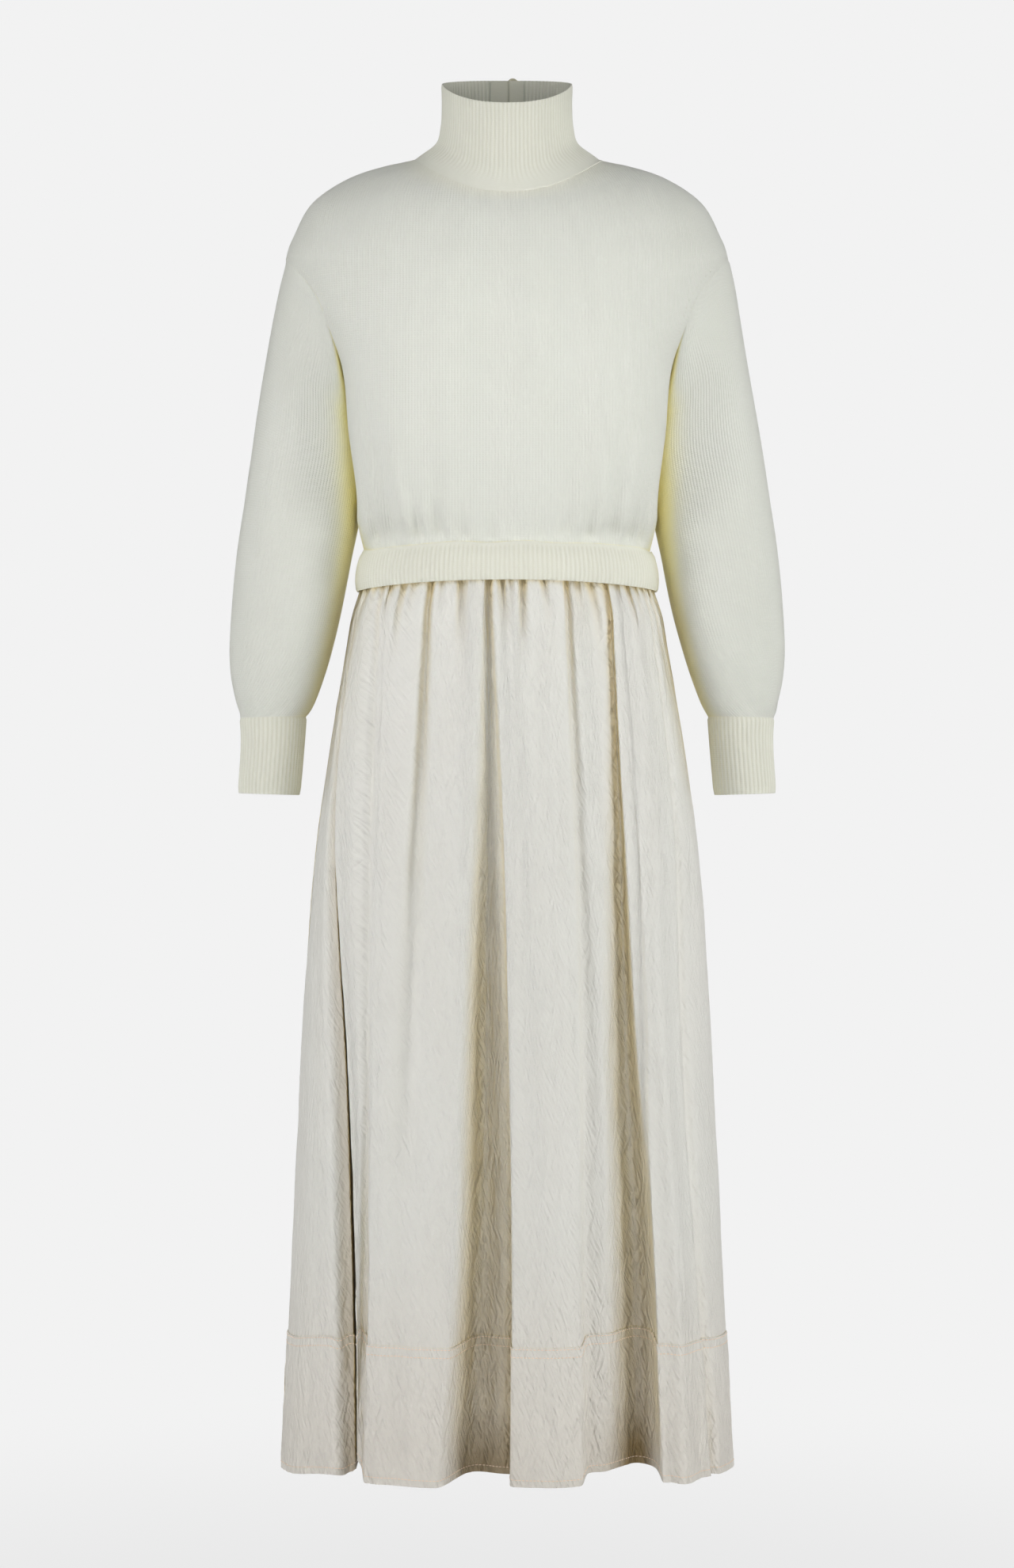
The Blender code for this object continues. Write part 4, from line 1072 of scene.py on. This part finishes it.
class Nodes:
    """Builds the node tree of one material."""

    def __init__(self, name):
        self.material = bpy.data.materials.new(name)
        self.material.use_nodes = True
        self.tree = self.material.node_tree
        self.shader = self.tree.nodes["Principled BSDF"]

    def add(self, kind, **settings):
        node = self.tree.nodes.new(kind)
        for key, value in settings.items():
            setattr(node, key, value)
        return node

    def link(self, source, target):
        self.tree.links.new(source, target)

    def value(self, operation, first, second=0.0, third=0.0):
        """The output of a maths node; each input is a number or a socket."""
        node = self.add("ShaderNodeMath", operation=operation)
        for socket, given in zip(node.inputs, (first, second, third)):
            if isinstance(given, (int, float)):
                socket.default_value = given
            else:
                self.link(given, socket)
        return node.outputs[0]

    def mix(self, factor, low, high):
        """The colour between two colours; each is a colour or a socket."""
        node = self.add("ShaderNodeMix", data_type="RGBA")
        for socket, given in zip((node.inputs["Factor"], node.inputs[6], node.inputs[7]),
                                 (factor, low, high)):
            if isinstance(given, bpy.types.NodeSocket):
                self.link(given, socket)
            elif isinstance(given, (int, float)):
                socket.default_value = given
            else:
                socket.default_value = (*given, 1.0)
        return node.outputs[2]

    def cloth(self):
        """Across, up and tint of the cloth coordinates."""
        attribute = self.add("ShaderNodeAttribute", attribute_name="cloth")
        split = self.add("ShaderNodeSeparateXYZ")
        self.link(attribute.outputs["Vector"], split.inputs[0])
        return split.outputs

    def noise(self, x, y, scale_x, scale_y, detail=2.0):
        """Noise over the cloth, with cells of the given size in metres."""
        place = self.add("ShaderNodeCombineXYZ")
        self.link(self.value("DIVIDE", x, scale_x), place.inputs[0])
        self.link(self.value("DIVIDE", y, scale_y), place.inputs[1])
        node = self.add("ShaderNodeTexNoise")
        node.inputs["Scale"].default_value = 1.0
        node.inputs["Detail"].default_value = detail
        self.link(place.outputs[0], node.inputs["Vector"])
        return node.outputs["Fac"]

    def grain(self, scale):
        """Fine noise through a piece that has no cloth coordinates."""
        place = self.add("ShaderNodeTexCoord")
        node = self.add("ShaderNodeTexNoise")
        node.inputs["Scale"].default_value = scale
        self.link(place.outputs["Object"], node.inputs["Vector"])
        return node.outputs["Fac"]

    def ridges(self, x, y, scale_x, scale_y):
        """Sharp small ridges over the cloth, from 0 to 1."""
        fold = self.value("MULTIPLY_ADD", self.noise(x, y, scale_x, scale_y, 1.0), 4.0, -2.0)
        return self.value("SUBTRACT", 1.0, self.value("MINIMUM", self.value("ABSOLUTE", fold), 1.0))

    def ramp(self, value, low, high):
        """A smooth step from 0 to 1 between two values."""
        ramp = self.add("ShaderNodeMapRange", interpolation_type="SMOOTHSTEP")
        self.link(value, ramp.inputs["Value"])
        ramp.inputs["From Min"].default_value = low
        ramp.inputs["From Max"].default_value = high
        return ramp.outputs["Result"]

    def shade(self, reach, low, high):
        """0 deep in a fold or under another piece, 1 in the open."""
        node = self.add("ShaderNodeAmbientOcclusion", samples=6)
        node.inputs["Distance"].default_value = reach
        return self.ramp(node.outputs["AO"], low, high)

    def bump(self, height, distance, strength=1.0):
        node = self.add("ShaderNodeBump")
        node.inputs["Distance"].default_value = distance
        node.inputs["Strength"].default_value = strength
        self.link(height, node.inputs["Height"])
        self.link(node.outputs["Normal"], self.shader.inputs["Normal"])

    def finish(self, colour, **settings):
        self.link(colour, self.shader.inputs["Base Color"])
        for key, value in settings.items():
            self.shader.inputs[key.replace("_", " ")].default_value = value
        return self.material


def knit_material():
    """Fine plain jersey: upright wales of slanted stitches, with a soft nap."""
    nodes = Nodes("ivory_jersey")
    across, up, tint = nodes.cloth()
    wale = nodes.value("SINE", nodes.value("MULTIPLY", across, math.pi / WALE))
    slant = nodes.value("ABSOLUTE", wale)
    course = nodes.value("MULTIPLY_ADD", up, 2 * math.pi / COURSE,
                         nodes.value("MULTIPLY", slant, 2.0))
    stitch = nodes.value("MULTIPLY", nodes.value("SINE", course), 0.10)
    fuzz = nodes.noise(across, up, 0.0018, 0.0018, 3.0)
    height = nodes.value("ADD", nodes.value("ADD", slant, stitch), fuzz)
    nodes.bump(height, 0.0005, 0.7)
    cloud = nodes.noise(across, up, 0.05, 0.08, 3.0)
    base = nodes.mix(tint, nodes.mix(cloud, *JERSEY), JERSEY_NECK)
    # Painted shade: occluded jersey is mixed towards the warm yellow shade colour.
    colour = nodes.mix(nodes.shade(0.08, 0.0, 0.65), JERSEY_PAINTED_SHADE, base)
    return nodes.finish(colour, Roughness=0.9, Sheen_Weight=0.2, Sheen_Roughness=0.6)


def rib_material(name, shade_colour):
    """Rib knit: the same yarn in fine upright ribs; shade_colour is the painted shade where it is
    enclosed.
    """
    nodes = Nodes(name)
    across, up, valley_shade = nodes.cloth()
    course = nodes.value("SINE", nodes.value("MULTIPLY", up, 2 * math.pi / RIB_COURSE))
    fuzz = nodes.noise(across, up, 0.0015, 0.0015, 3.0)
    nodes.bump(nodes.value("ADD", nodes.value("MULTIPLY", course, 0.12), fuzz), 0.0003, 0.6)
    cloud = nodes.noise(across, up, 0.012, 0.05, 2.0)
    # Painted shade: the rib valleys are mixed towards a darker colour.
    base = nodes.mix(nodes.value("MULTIPLY", valley_shade, 0.6), nodes.mix(cloud, *RIB), RIB_VALLEY_SHADE)
    # Painted shade: enclosed rib knit is mixed towards its shade colour.
    colour = nodes.mix(nodes.shade(0.15, 0.15, 0.75), shade_colour, base)
    return nodes.finish(colour, Roughness=0.9, Sheen_Weight=0.12, Sheen_Roughness=0.6)


def woven_material():
    """Finely crinkled cloth with a low satin sheen."""
    nodes = Nodes("ivory_crinkled_cloth")
    across, up, tint = nodes.cloth()
    open_share = nodes.shade(0.10, 0.0, 0.78)
    low = nodes.ramp(up, WARM_FROM, WARM_TO)
    fine = nodes.ridges(nodes.value("MULTIPLY_ADD", up, 0.42, across), up, 0.0050, 0.022)
    counter = nodes.ridges(nodes.value("MULTIPLY_ADD", up, -0.30, across), up, 0.0075, 0.034)
    creased = nodes.value("SUBTRACT", nodes.value("MULTIPLY_ADD", low, 0.20, 1.24), open_share)
    weave = nodes.value("MULTIPLY", nodes.noise(across, up, 0.0006, 0.0006, 0.0), 0.06)
    height = nodes.value("MULTIPLY", nodes.value("ADD", fine, counter), creased)
    nodes.bump(nodes.value("ADD", height, weave), 0.0030, 0.9)
    cloud = nodes.noise(across, up, 0.03, 0.10, 3.0)
    base = nodes.mix(cloud, *WOVEN)
    patch = nodes.noise(across, up, 0.11, 0.35, 1.0)
    base = nodes.mix(nodes.value("MULTIPLY", patch, 0.6), base, WOVEN_PATCH)
    base = nodes.mix(nodes.value("MULTIPLY", low, 0.6), base, WOVEN_LOW)
    # Painted shade: occluded cloth is mixed towards a tan.
    colour = nodes.mix(open_share, WOVEN_PAINTED_SHADE, base)
    # Painted shade in deep folds, tan high up and dark brown low down.
    deepest = nodes.mix(nodes.ramp(up, -0.10, -0.45), *DEEP_FOLD_SHADE)
    colour = nodes.mix(nodes.value("MULTIPLY", tint, 0.8), colour, deepest)
    return nodes.finish(colour, Roughness=0.55, Sheen_Weight=0.08, Sheen_Roughness=0.4)


def button_material():
    """Polished ivory with a faint mottle."""
    nodes = Nodes("ivory_button")
    colour = nodes.mix(nodes.grain(400), *BUTTON)
    return nodes.finish(colour, Roughness=0.3)


def thread_material():
    """Fine twisted sewing thread, a shade warmer than the cloth."""
    nodes = Nodes("ivory_thread")
    twist = nodes.grain(2500)
    nodes.bump(twist, 0.0001, 0.5)
    colour = nodes.mix(twist, *THREAD)
    return nodes.finish(colour, Roughness=0.7)


knit_finish = knit_material()
collar_finish = rib_material("ivory_collar_rib", COLLAR_PAINTED_SHADE)
rib_finish = rib_material("ivory_rib", RIB_PAINTED_SHADE)
thread_finish = thread_material()
woven_finish = woven_material()
button_finish = button_material()

# ---- the dress ----
body_panel("front_body", 0.0, 11)
body_panel("back_body", math.pi, 31)
sleeve("sleeve_left", -1, 51)
sleeve("sleeve_right", 1, 71)
cuff("cuff_left", -1)
cuff("cuff_right", 1)
collar("collar")
placket("placket_left", -1, -0.0012)
placket("placket_right", 1, 0.0019)
waistband("waistband")
start = band_fall()
falls = start * np.concatenate((np.linspace(0, 0.2, GATHER_ROWS, endpoint=False),
                                np.linspace(0.2, 1, FALL_ROWS)))
band = np.linspace(start - BAND_LAP, 1, BAND_ROWS)
band_seams = (start + BAND_SEAMS[0], start + BAND_SEAMS[1], 1 - HEM_SEAM)
front = Skirt(FRONT_FOLDS, FRONT_GATHERS, 0.0, FRONT_COLUMNS, 101)
front.panel("skirt_front", falls)
front.panel("hem_band_front", band, BAND_RISE, band_seams)
back = Skirt(BACK_FOLDS, BACK_GATHERS, math.pi, BACK_COLUMNS, 201)
back.panel("skirt_back", falls)
back.panel("hem_band_back", band, BAND_RISE, band_seams)
button("neck_button")
button_loop("button_loop")

# ---- stage ----
FLOOR_DROP = 0.17           # floor below the hem: the dress hangs from a wearer's shoulders
CAMERA_HEIGHT = -0.5996
CAMERA_DISTANCE = 4.0
CAMERA_LENS = 95.69         # mm, on a sensor 36 mm high
FLOOR_RADIUS = 6.0
SHADOW_REACH = (0.2, 1.6)   # distances from the middle over which the shadow fades
BACKDROP = 0.888            # grey of the floor and the surround as the camera sees them
SURROUND = 0.18             # grey of the surround as the light
MIDDLE = (0, 0, -0.6)       # the middle of the dress
SKIRT = (0, 0, -1.0)        # the lower part of the skirt
CHEST = (0, 0, -0.16)
LAMPS = (
    # name, place, target, width, height, power in W, beam in degrees
    ("front", (0.2, -4.5, -0.8), MIDDLE, 3.0, 3.0, 20, 180),
    ("front_low", (0.2, -4.5, -1.1), SKIRT, 2.0, 1.4, 3.4, 44),
    ("front_left", (-3.6, -2.2, -1.2), SKIRT, 1.6, 2.0, 8.8, 44),
    ("front_right", (3.6, -2.2, -1.2), SKIRT, 1.6, 2.0, 9.8, 44),
    ("left_side", (-4.2, -0.2, -1.1), SKIRT, 2.0, 2.0, 3.6, 44),
    ("right_side", (4.2, -0.2, -1.1), SKIRT, 2.0, 2.0, 3.4, 44),
    ("low", (0, -3.6, -1.5), SKIRT, 2.4, 0.6, 36, 180),
    ("chest", (0.1, -1.8, 0.5), CHEST, 0.6, 0.4, 0.42, 30),
    ("back", (0, 4.5, -0.7), MIDDLE, 1.8, 2.4, 150, 180),
)

low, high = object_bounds()


def direct_rays(tree):
    """1 for the rays that see the backdrop itself: from the camera, mirrored or let through."""
    rays = tree.nodes.new("ShaderNodeLightPath")
    direct = rays.outputs["Is Camera Ray"]
    for other in ("Is Glossy Ray", "Is Transmission Ray"):
        either = tree.nodes.new("ShaderNodeMath")
        either.operation = "MAXIMUM"
        tree.links.new(direct, either.inputs[0])
        tree.links.new(rays.outputs[other], either.inputs[1])
        direct = either.outputs[0]
    return direct


def studio():
    """A pale floor that the camera sees as bright as the backdrop, but for the shadow."""
    bpy.ops.mesh.primitive_circle_add(vertices=96, radius=FLOOR_RADIUS, fill_type="NGON",
                                      location=(0, 0, low.z - FLOOR_DROP))
    floor = bpy.context.object
    floor.name = "floor"
    nodes = Nodes("pale_floor")
    nodes.shader.inputs["Base Color"].default_value = (0.38, 0.38, 0.38, 1)
    nodes.shader.inputs["Roughness"].default_value = 1.0
    glow = nodes.add("ShaderNodeEmission")
    glow.inputs["Color"].default_value = (BACKDROP, BACKDROP, BACKDROP, 1)
    place = nodes.add("ShaderNodeTexCoord")
    length = nodes.add("ShaderNodeVectorMath", operation="LENGTH")
    nodes.link(place.outputs["Object"], length.inputs[0])
    fade = nodes.add("ShaderNodeMapRange", interpolation_type="SMOOTHSTEP")
    fade.inputs["From Min"].default_value = SHADOW_REACH[0]
    fade.inputs["From Max"].default_value = SHADOW_REACH[1]
    fade.inputs["To Min"].default_value = 0.88
    nodes.link(length.outputs["Value"], fade.inputs["Value"])
    seen = nodes.value("MULTIPLY", direct_rays(nodes.tree), fade.outputs["Result"])
    blend = nodes.add("ShaderNodeMixShader")
    nodes.link(seen, blend.inputs[0])
    nodes.link(nodes.shader.outputs[0], blend.inputs[1])
    nodes.link(glow.outputs[0], blend.inputs[2])
    nodes.link(blend.outputs[0], nodes.tree.nodes["Material Output"].inputs["Surface"])
    floor.data.materials.append(nodes.material)


def lamp(name, place, target, width, height, power, spread):
    """A soft rectangular lamp that points at a target; spread is its beam, in degrees."""
    data = bpy.data.lights.new(name, "AREA")
    data.shape = "RECTANGLE"
    data.size, data.size_y = width, height
    data.energy = power
    data.spread = math.radians(spread)
    thing = bpy.data.objects.new(name, data)
    bpy.context.scene.collection.objects.link(thing)
    thing.location = place
    thing.rotation_euler = (Vector(target) - Vector(place)).to_track_quat("-Z", "Y").to_euler()


def world():
    """An even grey surround for the light, which the camera sees as a pale backdrop."""
    sky = bpy.data.worlds.new("studio")
    bpy.context.scene.world = sky
    sky.use_nodes = True
    tree = sky.node_tree
    ground = tree.nodes["Background"]
    ground.inputs["Color"].default_value = (SURROUND, SURROUND, SURROUND, 1)
    seen = tree.nodes.new("ShaderNodeBackground")
    seen.inputs["Color"].default_value = (BACKDROP, BACKDROP, BACKDROP, 1)
    blend = tree.nodes.new("ShaderNodeMixShader")
    tree.links.new(direct_rays(tree), blend.inputs[0])
    tree.links.new(ground.outputs[0], blend.inputs[1])
    tree.links.new(seen.outputs[0], blend.inputs[2])
    tree.links.new(blend.outputs[0], tree.nodes["World Output"].inputs["Surface"])


def camera():
    """A level camera in front, at the middle of the view."""
    data = bpy.data.cameras.new("camera")
    data.lens = CAMERA_LENS
    data.sensor_width = 36
    thing = bpy.data.objects.new("camera", data)
    bpy.context.scene.collection.objects.link(thing)
    thing.location = (0, -CAMERA_DISTANCE, CAMERA_HEIGHT)
    thing.rotation_euler = (math.pi / 2, 0, 0)
    bpy.context.scene.camera = thing


studio()
world()
for setting in LAMPS:
    lamp(*setting)
camera()
bpy.context.scene.view_settings.view_transform = "Standard"
